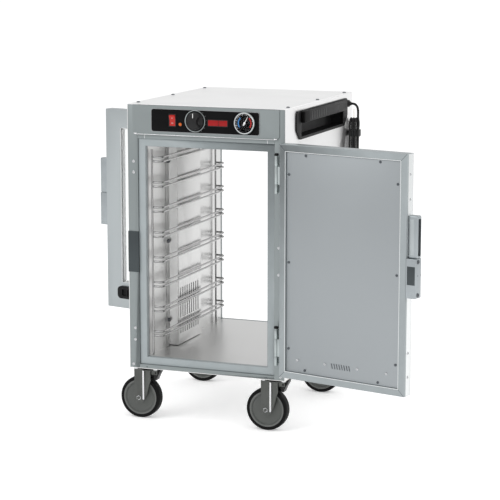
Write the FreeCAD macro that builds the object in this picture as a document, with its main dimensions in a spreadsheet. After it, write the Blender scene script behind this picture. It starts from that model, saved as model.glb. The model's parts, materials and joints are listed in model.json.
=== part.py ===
import FreeCAD, Part
import math
import os

import Sketcher

# Insulated food carrier: a heated holding cabinet on casters with a front and a rear door.
# Millimetres. +Z up, X across the front, -Y towards the user at the control panel.
# The origin is on the floor, below the middle of the cabinet.

SIZES = {
    # cabinet
    "BodyWide": 517,
    "BodyDeep": 638,
    "BodyTall": 829,
    "FloorGap": 174,
    "SkinThick": 1.5,
    "FrameDeep": 30,
    # cavity opening, measured from the bottom of the cabinet
    "OpeningWide": 400,
    "OpeningLow": 38,
    "OpeningHigh": 700,
    "BreakerWide": 24,
    "BreakerSetback": 4,
    "BreakerDeep": 16,
    "LinerThick": 1.5,
    # head of the cabinet
    "HeaderHigh": 737,
    "FasciaWide": 480,
    "FasciaThick": 2.5,
    "OverlayWide": 353,
    "OverlayLow": 747.5,
    "OverlayHigh": 817,
    "OverlayThick": 1,
    "ControlHigh": 783.5,
    # doors, in the closed place
    "DoorWide": 434,
    "DoorTall": 708,
    "DoorThick": 38,
    "DoorLow": 22.5,
    "DoorGap": 4.5,
    "DoorOpen": 166.6,
    "GasketWide": 21.5,
    "GasketThick": 8,
    "PanelThick": 1.5,
    "WindowSide": 65,
    "WindowLow": 93,
    "WindowHigh": 644,
    "GlassThick": 4,
    # hinges
    "HingeSide": 21,
    "HingeTall": 117,
    "HingeLow": 110,
    "HingeHigh": 635.5,
    "BarrelRadius": 7,
    "PinRadius": 3.5,
    "RunningGap": 0.05,
    "LeafThick": 3,
    # casters
    "CasterX": 214,
    "CasterY": 255.5,
    "CasterTrail": 33,
    "WheelRadius": 67,
    "WheelWide": 32,
    "HubRadius": 56,
    "AxleRadius": 5,
    "ForkTop": 160,
    "ForkThick": 4,
    # slide racks
    "WireRadius": 3,
    "RackPitch": 78.5,
    "RackPair": 13.6,
    "RackLevels": 8,
    "RackTopWire": 663.4,
    "RackX": 192,
    "RackReach": 160,
    "RackNear": 285,
    "RackFar": 235,
    "RackSetBack": 205,
    # side handles
    "HandleLow": 726,
    "HandleTall": 88,
    "HandleHalfTop": 246,
    "HandleHalfLow": 213,
    "HandleRecess": 40,
    "HandleShift": 15,
    # supply cord
    "CordRadius": 3.85,
}

doc = FreeCAD.newDocument("food_carrier")
sheet = doc.addObject("Spreadsheet::Sheet", "dims")
for row, (alias, number) in enumerate(SIZES.items(), start=1):
    sheet.set(f"A{row}", alias)
    sheet.set(f"B{row}", str(number))
    sheet.setAlias(f"B{row}", alias)
doc.recompute()


class Dim:
    """A length that keeps its number and the expression over the sheet that gives it."""

    def __init__(self, number, text):
        self.number = float(number)
        self.text = text

    def __add__(self, other):
        other = dim(other)
        return Dim(self.number + other.number, f"({self.text} + {other.text})")

    def __sub__(self, other):
        other = dim(other)
        return Dim(self.number - other.number, f"({self.text} - {other.text})")

    def __mul__(self, factor):
        return Dim(self.number * factor, f"({self.text} * {factor:.10g})")

    def __truediv__(self, divisor):
        return Dim(self.number / divisor, f"({self.text} / {divisor:.10g})")

    def __neg__(self):
        return self * -1

    def __radd__(self, other):
        return dim(other) + self

    def __rsub__(self, other):
        return dim(other) - self

    __rmul__ = __mul__


def dim(value):
    return value if isinstance(value, Dim) else Dim(value, f"({float(value):.10g})")


S = {alias: Dim(number, f"dims.{alias}") for alias, number in SIZES.items()}

HALF_WIDE = S["BodyWide"] / 2
HALF_DEEP = S["BodyDeep"] / 2
BASE = S["FloorGap"]
TOP = BASE + S["BodyTall"]
SKIN = S["SkinThick"]
INNER_X = HALF_WIDE - SKIN
CAVITY_X = S["OpeningWide"] / 2
CAVITY_LOW = BASE + S["OpeningLow"]
CAVITY_HIGH = BASE + S["OpeningHigh"]
BREAKER_X = CAVITY_X + S["BreakerWide"]
BREAKER_LOW = CAVITY_LOW - S["BreakerWide"]
BREAKER_HIGH = CAVITY_HIGH + S["BreakerWide"]
BREAKER_Y = HALF_DEEP - S["BreakerSetback"]
LINER_Y = BREAKER_Y - S["BreakerDeep"]
HINGE_X = S["DoorWide"] / 2 + S["HingeSide"]
AXIS_TO_INNER = S["DoorThick"] - S["HingeSide"] - 0.5
HINGE_Y = HALF_DEEP + S["DoorGap"] + AXIS_TO_INNER
FRONT = ("front", 1)
REAR = ("rear", -1)

# levels and places that more than one part needs
GLAND_Y = dim(276)
GLAND_Z = BASE + 794
GLAND_OUT = 12
BLOWER_X = dim(-95)
BLOWER_Y = dim(60)
ROCKER_TILT = 9
ROCKER_X = dim(-105.5)
ROCKER_HALF = 11
ROCKER_TALL = 18.5
LAMP_X = dim(-79.8)
KNOB_X = dim(-31.5)
LENS_X = dim(42.5)
GAUGE_X = dim(130.1)
GAUGE_BORE = 29
NEEDLE_REST = 28
HIGH_Z = BASE + S["ControlHigh"]
LAMP_Z = BASE + 772
LENS_Z = BASE + 780
FASCIA_FACE = HALF_DEEP + S["FasciaThick"]
OVERLAY_FACE = FASCIA_FACE + S["OverlayThick"]
TOP_SCREW = 5
DUCT_SCREWS = (123.9, 379.6, 634.8)

subparts = []


# ---------------------------------------------------------------- helpers


def bind(target, path, value):
    """Ties a property to the sheet when its value comes from it, or sets the plain number."""
    value = dim(value)
    target.setExpression(path, value.text)


def named(target, label):
    """Marks a finished sub-part: its label is the name of its file."""
    target.Label = label
    subparts.append(target)
    return target


FACES = {
    "up": FreeCAD.Rotation(),
    "front": FreeCAD.Rotation(FreeCAD.Vector(1, 0, 0), 90),
    "rear": FreeCAD.Rotation(FreeCAD.Vector(0, 1, 1), 180),
    "right": FreeCAD.Rotation(FreeCAD.Vector(1, 1, 1), 120),
    "left": FreeCAD.Rotation(FreeCAD.Vector(0, 0, 1), 180)
    * FreeCAD.Rotation(FreeCAD.Vector(1, 1, 1), 120),
}


def place(target, x=0, y=0, z=0, face="up"):
    """Moves a piece to x, y, z with its local Z pointing out of the named face."""
    target.Placement = FreeCAD.Placement(FreeCAD.Vector(), FACES[face])
    bind(target, "Placement.Base.x", x)
    bind(target, "Placement.Base.y", y)
    bind(target, "Placement.Base.z", z)
    return target


def box(x0, x1, y0, y1, z0, z1):
    piece = doc.addObject("Part::Box", "block")
    bind(piece, "Length", dim(x1) - x0)
    bind(piece, "Width", dim(y1) - y0)
    bind(piece, "Height", dim(z1) - z0)
    return place(piece, x0, y0, z0)


def cylinder(radius, height, x=0, y=0, z=0, face="up"):
    piece = doc.addObject("Part::Cylinder", "round")
    bind(piece, "Radius", radius)
    bind(piece, "Height", height)
    return place(piece, x, y, z, face)


def cone(radius_low, radius_high, height, x=0, y=0, z=0, face="up"):
    piece = doc.addObject("Part::Cone", "taper")
    bind(piece, "Radius1", radius_low)
    bind(piece, "Radius2", radius_high)
    bind(piece, "Height", height)
    return place(piece, x, y, z, face)


def group(pieces):
    """Separate solids that share one node."""
    piece = doc.addObject("Part::Compound", "group")
    piece.Links = list(pieces)
    return piece


def fuse(pieces):
    piece = doc.addObject("Part::MultiFuse", "joined")
    piece.Shapes = list(pieces)
    return piece


def cut(base, *tools):
    piece = doc.addObject("Part::Cut", "trimmed")
    piece.Base = base
    piece.Tool = tools[0] if len(tools) == 1 else fuse(tools)
    return piece


def common(first, second):
    piece = doc.addObject("Part::Common", "shared")
    piece.Base = first
    piece.Tool = second
    return piece


def plane_of(body, role):
    return next(f for f in body.Origin.OriginFeatures if f.Role == role)


def sketch_in(body, role):
    sketch = body.newObject("Sketcher::SketchObject", "outline")
    sketch.AttachmentSupport = [(plane_of(body, role), "")]
    sketch.MapMode = "FlatFace"
    return sketch


def pin_point(sketch, geometry, end, x, y):
    """Holds one end of a sketch element at x, y through constraints bound to the sheet."""
    for kind, value in (("DistanceX", dim(x)), ("DistanceY", dim(y))):
        if abs(value.number) < 1e-9:
            axis = -2 if kind == "DistanceX" else -1
            sketch.addConstraint(Sketcher.Constraint("PointOnObject", geometry, end, axis))
            continue
        row = sketch.addConstraint(Sketcher.Constraint(kind, -1, 1, geometry, end, value.number))
        sketch.setExpression(f"Constraints[{row}]", value.text)


def polygon(sketch, points):
    """A closed outline of straight sides."""
    corners = [FreeCAD.Vector(dim(x).number, dim(y).number, 0) for x, y in points]
    first = sketch.GeometryCount
    count = len(points)
    for i in range(count):
        sketch.addGeometry(Part.LineSegment(corners[i], corners[(i + 1) % count]), False)
    for i in range(count):
        after = first + (i + 1) % count
        sketch.addConstraint(Sketcher.Constraint("Coincident", first + i, 2, after, 1))
        pin_point(sketch, first + i, 1, *points[i])


def circle(sketch, x, y, radius):
    centre = FreeCAD.Vector(dim(x).number, dim(y).number, 0)
    up = FreeCAD.Vector(0, 0, 1)
    index = sketch.addGeometry(Part.Circle(centre, up, dim(radius).number), False)
    row = sketch.addConstraint(Sketcher.Constraint("Radius", index, dim(radius).number))
    sketch.setExpression(f"Constraints[{row}]", dim(radius).text)
    pin_point(sketch, index, 3, x, y)


def new_body(name):
    return doc.addObject("PartDesign::Body", name)


def from_sheet(alias):
    return float(sheet.get(alias))


def padded(name, points, height, face="up", at=(0, 0, 0), holes=(), rounding=None):
    """A body with one outline, pushed up by its height, whose upright corners may be rounded."""
    body = new_body(name)
    sketch = sketch_in(body, "XY_Plane")
    polygon(sketch, points)
    for hole in holes:
        polygon(sketch, hole)
    pad = body.newObject("PartDesign::Pad", "pad")
    pad.Profile = sketch
    bind(pad, "Length", height)
    if rounding is not None:
        doc.recompute()
        round_upright(body, pad, rounding)
    return place(body, *at, face)


def round_upright(body, base, radius):
    edges = []
    for i, edge in enumerate(base.Shape.Edges, start=1):
        first, last = (v.Point for v in (edge.Vertexes[0], edge.Vertexes[-1]))
        if abs(last.z - first.z) > 1e-6 and math.hypot(last.x - first.x, last.y - first.y) < 1e-6:
            edges.append(f"Edge{i}")
    fillet = body.newObject("PartDesign::Fillet", "round")
    fillet.Base = (base, edges)
    bind(fillet, "Radius", radius)


def turned(name, points, face="up", at=(0, 0, 0)):
    """A body whose (radius, height) outline is turned about its local Z."""
    body = new_body(name)
    sketch = sketch_in(body, "XZ_Plane")
    polygon(sketch, points)
    revolution = body.newObject("PartDesign::Revolution", "turned")
    revolution.Profile = sketch
    revolution.ReferenceAxis = (sketch, ["V_Axis"])
    revolution.Angle = 360
    return place(body, *at, face)


def rectangle(x0, x1, y0, y1):
    return [(x0, y0), (x1, y0), (x1, y1), (x0, y1)]


def in_door(piece, side):
    """Hangs a piece drawn in the frame of its hinge axis, door closed, on the open door."""
    sign = side[1]
    turn = 0 if sign > 0 else 180
    hung = group([piece])
    upright = FreeCAD.Vector(0, 0, 1)
    rotation = FreeCAD.Rotation(upright, from_sheet("DoorOpen") + turn)
    hung.Placement = FreeCAD.Placement(FreeCAD.Vector(), rotation)
    bind(hung, "Placement.Base.x", HINGE_X * sign)
    bind(hung, "Placement.Base.y", HINGE_Y * -sign)
    bind(hung, "Placement.Rotation.Angle", S["DoorOpen"] + turn)
    return hung


def span(sign, inner, outer):
    """The X limits, low first, of something between two distances on one side."""
    return (inner, outer) if sign > 0 else (-dim(outer), -dim(inner))


# ---------------------------------------------------------------- cabinet shell


def side_panels():
    for sign, name in ((-1, "left"), (1, "right")):
        skin = box(*span(sign, INNER_X, HALF_WIDE), -HALF_DEEP, HALF_DEEP, BASE, TOP - SKIN)
        low, high = BASE + S["HandleLow"] + 3, BASE + S["HandleLow"] + S["HandleTall"] - 3
        half = S["HandleHalfLow"] - 3
        y0, y1 = S["HandleShift"] - half, S["HandleShift"] + half
        window = box(*span(sign, INNER_X - 1, HALF_WIDE + 1), y0, y1, low, high)
        tools = [window]
        if sign > 0:
            tools.append(cylinder(8.2, 6, INNER_X - 2, GLAND_Y, GLAND_Z, "right"))
        named(cut(skin, *tools), f"side_panel_{name}")


def top_screw_places():
    return [(246 * sign, y) for sign in (-1, 1) for y in (-263, 7, 274)]


def top_and_base():
    sheet_top = box(-HALF_WIDE, HALF_WIDE, -HALF_DEEP, HALF_DEEP, TOP - SKIN, TOP)
    holes = [cylinder(TOP_SCREW, SKIN + 2, x, y, TOP - SKIN - 1) for x, y in top_screw_places()]
    named(cut(sheet_top, *holes), "top_cover")
    floor = box(-INNER_X, INNER_X, -HALF_DEEP, HALF_DEEP, BASE, BASE + SKIN)
    named(floor, "base_panel")


def door_frames():
    """Two stiles, a header and a sill at each end, as separate lengths of section."""
    for name, sign in (FRONT, REAR):
        y0, y1 = span(-sign, HALF_DEEP - S["FrameDeep"], HALF_DEEP)
        low, high = BASE + SKIN, TOP - SKIN
        lengths = [box(*span(s, BREAKER_X, INNER_X), y0, y1, low, high) for s in (-1, 1)]
        header_top = BASE + S["HeaderHigh"]
        lengths.append(box(-BREAKER_X, BREAKER_X, y0, y1, BREAKER_HIGH, header_top))
        lengths.append(box(-BREAKER_X, BREAKER_X, y0, y1, low, BREAKER_LOW))
        if sign < 0:
            # the rear has a plain closing panel where the front has the control panel
            face0, face1 = span(-sign, HALF_DEEP - SKIN, HALF_DEEP)
            lengths.append(box(-BREAKER_X, BREAKER_X, face0, face1, header_top, high))
        named(group(lengths), f"{name}_frame")


def breaker_strips():
    """Mitred strips of the thermal break round each opening, four to an end."""
    strips = []
    for name, sign in (FRONT, REAR):
        out_x, in_x = BREAKER_X, CAVITY_X
        low, in_low, in_high, high = BREAKER_LOW, CAVITY_LOW, CAVITY_HIGH, BREAKER_HIGH
        outlines = (
            [(-out_x, low), (out_x, low), (in_x, in_low), (-in_x, in_low)],
            [(out_x, low), (out_x, high), (in_x, in_high), (in_x, in_low)],
            [(out_x, high), (-out_x, high), (-in_x, in_high), (in_x, in_high)],
            [(-out_x, high), (-out_x, low), (-in_x, in_low), (-in_x, in_high)],
        )
        for outline in outlines:
            at = (0, LINER_Y * -sign, 0)
            strips.append(padded("strip", outline, S["BreakerDeep"], name, at))
    named(group(strips), "breaker_strips")


def cavity_liner():
    thick = S["LinerThick"]
    low, high = CAVITY_LOW, CAVITY_HIGH
    reach = CAVITY_X + thick
    walls = [box(*span(s, CAVITY_X, reach), -LINER_Y, LINER_Y, low, high) for s in (-1, 1)]
    floor = box(-reach, reach, -LINER_Y, LINER_Y, low - thick, low)
    ceiling = box(-reach, reach, -LINER_Y, LINER_Y, high, high + thick)
    inlet = cylinder(40, thick + 2, BLOWER_X, BLOWER_Y, high - 1)
    outlet = box(-CAVITY_X + 4, -CAVITY_X + 26, -130, 40, high - 1, high + thick + 1)
    named(group(walls + [floor, cut(ceiling, inlet, outlet)]), "cavity_liner")


def insulation():
    gap = 0.5
    end = HALF_DEEP - S["FrameDeep"] - gap
    low = BASE + SKIN + gap
    inner = CAVITY_X + S["LinerThick"] + gap
    slab_top = CAVITY_HIGH + 20
    slabs = [box(*span(s, inner, INNER_X - gap), -end, end, low, slab_top) for s in (-1, 1)]
    floor_top = CAVITY_LOW - S["LinerThick"] - gap
    slabs.append(box(-inner + 1, inner - 1, -end, end, low, floor_top))
    ceiling = box(-inner + 1, inner - 1, -end, end, CAVITY_HIGH + S["LinerThick"] + gap, slab_top)
    way = cylinder(42, 30, BLOWER_X, BLOWER_Y, CAVITY_HIGH)
    outlet = box(-CAVITY_X, -CAVITY_X + 28, -132, 42, CAVITY_HIGH, CAVITY_HIGH + 30)
    slabs.append(cut(ceiling, way, outlet))
    named(group(slabs), "insulation")


# ---------------------------------------------------------------- control panel


def control_fascia():
    """The head panel stands proud of the frame and ends in a drip ledge."""
    half = S["FasciaWide"] / 2
    low = BASE + S["HeaderHigh"]
    outline = [(-half + 8, low), (half - 8, low), (half, low + 8), (half, TOP - 2), (-half, TOP - 2)]
    outline.append((-half, low + 8))
    plate = padded("head_panel", outline, S["FasciaThick"], "front", (0, -HALF_DEEP, 0))
    out = HALF_DEEP + S["FasciaThick"]
    ledge = box(-half + 10, half - 10, -out - 3, -out, low, low + 2)
    holes = [
        rocker_block(0, -out - 5, -HALF_DEEP + 5),
        cylinder(5, 12, KNOB_X, -HALF_DEEP + 5, HIGH_Z, "front"),
        cylinder(GAUGE_BORE, 12, GAUGE_X, -HALF_DEEP + 5, HIGH_Z, "front"),
    ]
    named(cut(fuse([plate, ledge]), *holes), "control_fascia")


def rocker_block(margin, y0, y1):
    """A block of the switch's cut-out, wider all round by the margin."""
    wide = ROCKER_HALF + margin
    tall = ROCKER_TALL + margin
    return box(ROCKER_X - wide, ROCKER_X + wide, y0, y1, HIGH_Z - tall, HIGH_Z + tall)


def control_overlay():
    half = S["OverlayWide"] / 2
    low, high = BASE + S["OverlayLow"], BASE + S["OverlayHigh"]
    label = padded(
        "label",
        rectangle(-half, half, low, high),
        S["OverlayThick"],
        "front",
        (0, -FASCIA_FACE, 0),
        rounding=8,
    )
    holes = [
        rocker_block(0, -OVERLAY_FACE - 1, -FASCIA_FACE + 1),
        cylinder(5, 5, KNOB_X, -FASCIA_FACE + 2, HIGH_Z, "front"),
        cylinder(GAUGE_BORE, 5, GAUGE_X, -FASCIA_FACE + 2, HIGH_Z, "front"),
        cylinder(5, 5, LAMP_X, -FASCIA_FACE + 2, LAMP_Z, "front"),
    ]
    named(cut(label, *holes), "control_overlay")


def rocker():
    """A round-backed rocker on a cross pin inside its frame."""
    pivot_y = OVERLAY_FACE - 1.5
    bezel = rocker_block(1.5, -OVERLAY_FACE - 2, -OVERLAY_FACE)
    shell = rocker_block(0, -OVERLAY_FACE, -OVERLAY_FACE + 22)
    room = rocker_block(-1.4, -OVERLAY_FACE - 3, -OVERLAY_FACE + 21)
    bore = cylinder(1.5 + S["RunningGap"], 22, ROCKER_X - 11, -pivot_y, HIGH_Z, "right")
    named(cut(fuse([bezel, shell]), room, bore), "rocker_housing")

    drum = cylinder(16.9, 18.6, ROCKER_X - 9.3, -pivot_y, HIGH_Z, "right")
    outline = [(-pivot_y + 6, -18), (-pivot_y - 6.5, -18), (-pivot_y - 3, 0), (-pivot_y - 6.5, 18)]
    outline.append((-pivot_y + 6, 18))
    wedge = padded("paddle", outline, 18.6, "right", (ROCKER_X - 9.3, 0, HIGH_Z))
    pin = cylinder(1.5, 21.6, ROCKER_X - 10.8, -pivot_y, HIGH_Z, "right")
    paddle = fuse([common(drum, wedge), pin])
    tilted = group([paddle])
    tilt = FreeCAD.Rotation(FreeCAD.Vector(1, 0, 0), ROCKER_TILT)
    centre = FreeCAD.Vector(0, -pivot_y.number, HIGH_Z.number)
    tilted.Placement = FreeCAD.Placement(FreeCAD.Vector(), tilt, centre)
    named(tilted, "rocker_switch")


def lamp_and_lens():
    stem = cylinder(4.8, 8, LAMP_X, -FASCIA_FACE, LAMP_Z, "front")
    dome = cone(6, 4.5, 2.5, LAMP_X, -OVERLAY_FACE, LAMP_Z, "front")
    neck = common(stem, box(-100, 0, -OVERLAY_FACE, -FASCIA_FACE, BASE, TOP))
    named(fuse([neck, dome]), "indicator_lamp")
    outline = rectangle(LENS_X - 31.2, LENS_X + 31.2, LENS_Z - 8.6, LENS_Z + 8.6)
    lens = padded("window", outline, 1.5, "front", (0, -OVERLAY_FACE, 0), rounding=3)
    named(lens, "display_lens")


def thermostat():
    ring = turned(
        "ring",
        [(30.5, 0), (34, 0), (34, 1.8), (32.8, 2.6), (30.5, 2.6)],
        "front",
        (KNOB_X, -OVERLAY_FACE, HIGH_Z),
    )
    named(ring, "knob_bezel")

    gap = 0.6
    knob = new_body("knob")
    sketch = sketch_in(knob, "XZ_Plane")
    polygon(sketch, [(0, gap), (28, gap), (28, 3), (26.5, 4), (25, 17), (23, 19), (0, 19)])
    turn = knob.newObject("PartDesign::Revolution", "turned")
    turn.Profile = sketch
    turn.ReferenceAxis = (sketch, ["V_Axis"])
    turn.Angle = 360
    rim = sketch_in(knob, "XY_Plane")
    circle(rim, 27.4, 0, 1.1)
    groove = knob.newObject("PartDesign::Pocket", "flute")
    groove.Profile = rim
    groove.Type = "ThroughAll"
    groove.Midplane = True
    doc.recompute()
    ribs = knob.newObject("PartDesign::PolarPattern", "flutes")
    ribs.Originals = [groove]
    ribs.Axis = (rim, ["N_Axis"])
    ribs.Angle = 360
    ribs.Occurrences = 36
    knob.Tip = ribs
    place(knob, KNOB_X, -OVERLAY_FACE, HIGH_Z, "front")
    spindle = cylinder(3, 26, KNOB_X, -OVERLAY_FACE + 26, HIGH_Z, "front")
    named(group([knob, spindle]), "thermostat_knob")

    case = box(KNOB_X - 22, KNOB_X + 22, -HALF_DEEP + 1, -HALF_DEEP + 30, HIGH_Z - 18, HIGH_Z + 18)
    bore = cylinder(3 + S["RunningGap"], 40, KNOB_X, -HALF_DEEP + 38, HIGH_Z, "front")
    named(cut(case, bore), "thermostat_body")


def thermometer():
    can = turned(
        "can",
        [(0, -18), (28.5, -18), (28.5, 0), (33, 0), (33, 5), (31, 7.5), (29.5, 7.5), (29.5, 2), (0, 2)],
        "front",
        (GAUGE_X, -OVERLAY_FACE, HIGH_Z),
    )
    bore = cylinder(1 + S["RunningGap"], 12, GAUGE_X, -OVERLAY_FACE + 8, HIGH_Z, "front")
    named(cut(can, bore), "thermometer_case")
    outline = [(-2.6, -8), (2.6, -8), (1.6, 0), (0.4, 23), (-0.4, 23), (-1.6, 0)]
    blade = padded("blade", outline, 0.8, "front", (GAUGE_X, -OVERLAY_FACE - 3, HIGH_Z))
    boss = cylinder(3, 2, GAUGE_X, -OVERLAY_FACE - 2.6, HIGH_Z, "front")
    shaft = cylinder(1, 8, GAUGE_X, -OVERLAY_FACE + 5, HIGH_Z, "front")
    needle = group([fuse([blade, boss, shaft])])
    turn = FreeCAD.Rotation(FreeCAD.Vector(0, 1, 0), NEEDLE_REST)
    centre = FreeCAD.Vector(GAUGE_X.number, 0, HIGH_Z.number)
    needle.Placement = FreeCAD.Placement(FreeCAD.Vector(), turn, centre)
    named(needle, "thermometer_needle")


# ---------------------------------------------------------------- heating parts


def heating():
    floor = CAVITY_HIGH + 22
    motor = cylinder(36, 42, BLOWER_X, BLOWER_Y, floor + 46)
    flange = cylinder(48, 3, BLOWER_X, BLOWER_Y, floor + 44)
    bore = cylinder(4 + S["RunningGap"], 30, BLOWER_X, BLOWER_Y, floor + 43)
    named(cut(fuse([motor, flange]), bore), "blower_motor")

    disc = cylinder(45, 2, BLOWER_X, BLOWER_Y, floor + 36)
    ring = cut(
        cylinder(45, 2, BLOWER_X, BLOWER_Y, floor + 4),
        cylinder(38, 4, BLOWER_X, BLOWER_Y, floor + 3),
    )
    blades = []
    for i in range(18):
        angle = math.radians(20 * i)
        blade = doc.addObject("Part::Box", "blade")
        blade.Length, blade.Width = 7, 1.2
        bind(blade, "Height", 32)
        turn = FreeCAD.Rotation(FreeCAD.Vector(0, 0, 1), math.degrees(angle) + 25)
        blade.Placement = FreeCAD.Placement(FreeCAD.Vector(), turn)
        bind(blade, "Placement.Base.x", BLOWER_X + 37.5 * math.cos(angle))
        bind(blade, "Placement.Base.y", BLOWER_Y + 37.5 * math.sin(angle))
        bind(blade, "Placement.Base.z", floor + 5)
        blades.append(blade)
    shaft = cylinder(4, 32, BLOWER_X, BLOWER_Y, floor + 36)
    named(fuse([disc, ring, shaft] + blades), "blower_wheel")

    coil = doc.addObject("Part::Torus", "coil")
    coil.Radius1, coil.Radius2 = 62, 4
    place(coil, 60, BLOWER_Y, floor + 12)
    ends = [cylinder(4, 50, 60 + x, BLOWER_Y - 60, floor + 12, "front") for x in (-12, 12)]
    legs = [common(end, box(0, 120, BLOWER_Y - 110, BLOWER_Y - 58, floor, floor + 30)) for end in ends]
    named(fuse([coil] + legs), "heater_element")


def air_duct():
    """A folded duct on the left wall that blows air out of louvres near the floor."""
    x0, x1 = -CAVITY_X + 0.5, -CAVITY_X + 30
    low, high = CAVITY_LOW + 2, CAVITY_HIGH - 1
    shell = box(x0, x1, -140, 50, low, high)
    flange = box(x0, x0 + 1.5, -164, 74, low, high)
    hollow = box(x0 - 1, x1 - 1.5, -138.5, 48.5, low + 1.5, high + 1)
    slots = []
    for centre in (68, 120, 174):
        for i in range(9):
            y = -122 + 18 * i
            slots.append(box(x1 - 3, x1 + 1, y, y + 6, BASE + centre + 6, BASE + centre + 50))
    named(cut(fuse([shell, flange]), hollow, group(slots)), "air_duct")


# ---------------------------------------------------------------- slide racks


def slide_racks():
    """Round-wire uprights with a pair of U-shaped runners at each of eight levels.

    The right rack starts further back than the left one."""
    wire = S["WireRadius"]
    for sign, name in ((-1, "left"), (1, "right")):
        x_wall = S["RackX"] * sign
        pieces = []
        tall = CAVITY_HIGH - CAVITY_LOW - 14
        if sign < 0:
            ends = (S["RackNear"] * -1, S["RackFar"] * 1)
        else:
            ends = (S["RackSetBack"] * -1, S["RackNear"] * 1)
        for y in ends:
            pieces.append(cylinder(wire, tall, x_wall, y, CAVITY_LOW + 1))
        for level in range(int(from_sheet("RackLevels"))):
            for drop in (0, S["RackPair"]):
                z = BASE + S["RackTopWire"] - S["RackPitch"] * level - drop
                pieces.append(runner(sign, z))
        named(group(pieces), f"slide_rack_{name}")


def runner(sign, z):
    """A wire that leaves the rear upright, runs forward clear of the wall and comes back."""
    bend = 12
    wire = from_sheet("WireRadius")
    wall = (from_sheet("RackX") - wire - 0.02) * sign
    reach = from_sheet("RackReach") * sign
    if sign < 0:
        front, back = -from_sheet("RackNear"), from_sheet("RackFar")
    else:
        front, back = -from_sheet("RackSetBack"), from_sheet("RackNear")
    turn = bend * sign
    corner = bend * (1 - math.sqrt(0.5))
    points = [(wall, front), (reach + turn, front), (reach, front + bend)]
    more = [(reach, back - bend), (reach + turn, back), (wall, back)]
    height = z.number

    def at(x, y):
        return FreeCAD.Vector(x, y, height)

    first_mid = at(reach + math.copysign(corner, sign), front + corner)
    second_mid = at(reach + math.copysign(corner, sign), back - corner)
    a, b, c = (at(*p) for p in points)
    d, e, f = (at(*p) for p in more)
    edges = [
        Part.LineSegment(a, b).toShape(),
        Part.Arc(b, first_mid, c).toShape(),
        Part.LineSegment(c, d).toShape(),
        Part.Arc(d, second_mid, e).toShape(),
        Part.LineSegment(e, f).toShape(),
    ]
    path = Part.Wire(edges)
    section = Part.Wire(Part.Circle(a, FreeCAD.Vector(-sign, 0, 0), wire).toShape())
    piece = doc.addObject("Part::Feature", "runner")
    piece.Shape = path.makePipeShell([section], True, False)
    return piece


# ---------------------------------------------------------------- side handles


def side_handles():
    """A moulded tray let into the side panel with a grip bar along its top."""
    for name in ("left", "right"):
        tall = S["HandleTall"]
        top, low = S["HandleHalfTop"], S["HandleHalfLow"]
        rim = padded(
            "rim",
            [(-low, 0), (low, 0), (top, 30), (top, tall), (-top, tall), (-top, 30)],
            4,
            rounding=14,
        )
        tray = padded("tray", rectangle(-low + 4, low - 4, 4, tall - 4), S["HandleRecess"] + 3)
        place(tray, 0, 0, -S["HandleRecess"] - 3)
        mouth = box(-low + 10, low - 10, 8, tall - 36, -5, 10)
        cave = box(-low + 7, low - 7, 7, tall - 7, -S["HandleRecess"], -1)
        bar = padded("bar", [(0, 0), (12, 0), (16, 8), (16, 26), (11, 33), (0, 33)], (low - 6) * 2)
        bar.Placement = FreeCAD.Placement(
            FreeCAD.Vector(), FreeCAD.Rotation(FreeCAD.Vector(0, 1, 0), -90)
        )
        bind(bar, "Placement.Base.x", low - 6)
        bind(bar, "Placement.Base.y", tall - 37)
        handle = cut(fuse([rim, tray]), mouth, cave)
        whole = fuse([handle, bar])
        sign = -1 if name == "left" else 1
        place(whole, HALF_WIDE * sign, S["HandleShift"], BASE + S["HandleLow"], name)
        named(whole, f"side_handle_{name}")


# ---------------------------------------------------------------- doors


DOOR_EDGE = -S["HingeSide"]
DOOR_FREE = DOOR_EDGE - S["DoorWide"]
INNER = AXIS_TO_INNER
OUTER = INNER - S["DoorThick"]
DOOR_BASE = BASE + S["DoorLow"]
DOOR_TOP = DOOR_BASE + S["DoorTall"]
GASKET_BACK = INNER - S["GasketThick"]
PANEL_FACE = INNER - 4


def door_skin(side):
    """The outer pan: the face and its four turned sides, or a glazed frame on the rear door."""
    if side is FRONT:
        pan = box(DOOR_FREE, DOOR_EDGE, OUTER, GASKET_BACK, DOOR_BASE, DOOR_TOP)
        edge = SKIN
        inside = box(
            DOOR_FREE + edge, DOOR_EDGE - edge, OUTER + edge, GASKET_BACK + 1,
            DOOR_BASE + edge, DOOR_TOP - edge,
        )
        skin = cut(pan, inside)
    else:
        pan = box(DOOR_FREE, DOOR_EDGE, OUTER, GASKET_BACK, DOOR_BASE, DOOR_TOP)
        x0, x1 = DOOR_FREE + S["WindowSide"], DOOR_EDGE - S["WindowSide"]
        window = box(x0, x1, OUTER - 1, INNER, DOOR_BASE + S["WindowLow"], DOOR_BASE + S["WindowHigh"])
        skin = cut(pan, window)
    named(in_door(skin, side), f"{side[0]}_door_skin")


def door_core():
    gap = SKIN + 0.3
    core = box(
        DOOR_FREE + gap, DOOR_EDGE - gap, OUTER + gap, PANEL_FACE - S["PanelThick"] - 0.1,
        DOOR_BASE + gap, DOOR_TOP - gap,
    )
    shoulder = 0.3
    border = S["GasketWide"] + shoulder
    trim = cut(
        box(DOOR_FREE, DOOR_EDGE, GASKET_BACK - shoulder, INNER, DOOR_BASE, DOOR_TOP),
        box(
            DOOR_FREE + border, DOOR_EDGE - border, GASKET_BACK - 2, INNER + 1,
            DOOR_BASE + border, DOOR_TOP - border,
        ),
    )
    named(in_door(cut(core, trim), FRONT), "front_door_core")


def door_panel():
    border = S["GasketWide"] + 0.3
    sheet_metal = box(
        DOOR_FREE + border, DOOR_EDGE - border, PANEL_FACE - S["PanelThick"], PANEL_FACE,
        DOOR_BASE + border, DOOR_TOP - border,
    )
    named(in_door(sheet_metal, FRONT), "front_door_panel")


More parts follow.
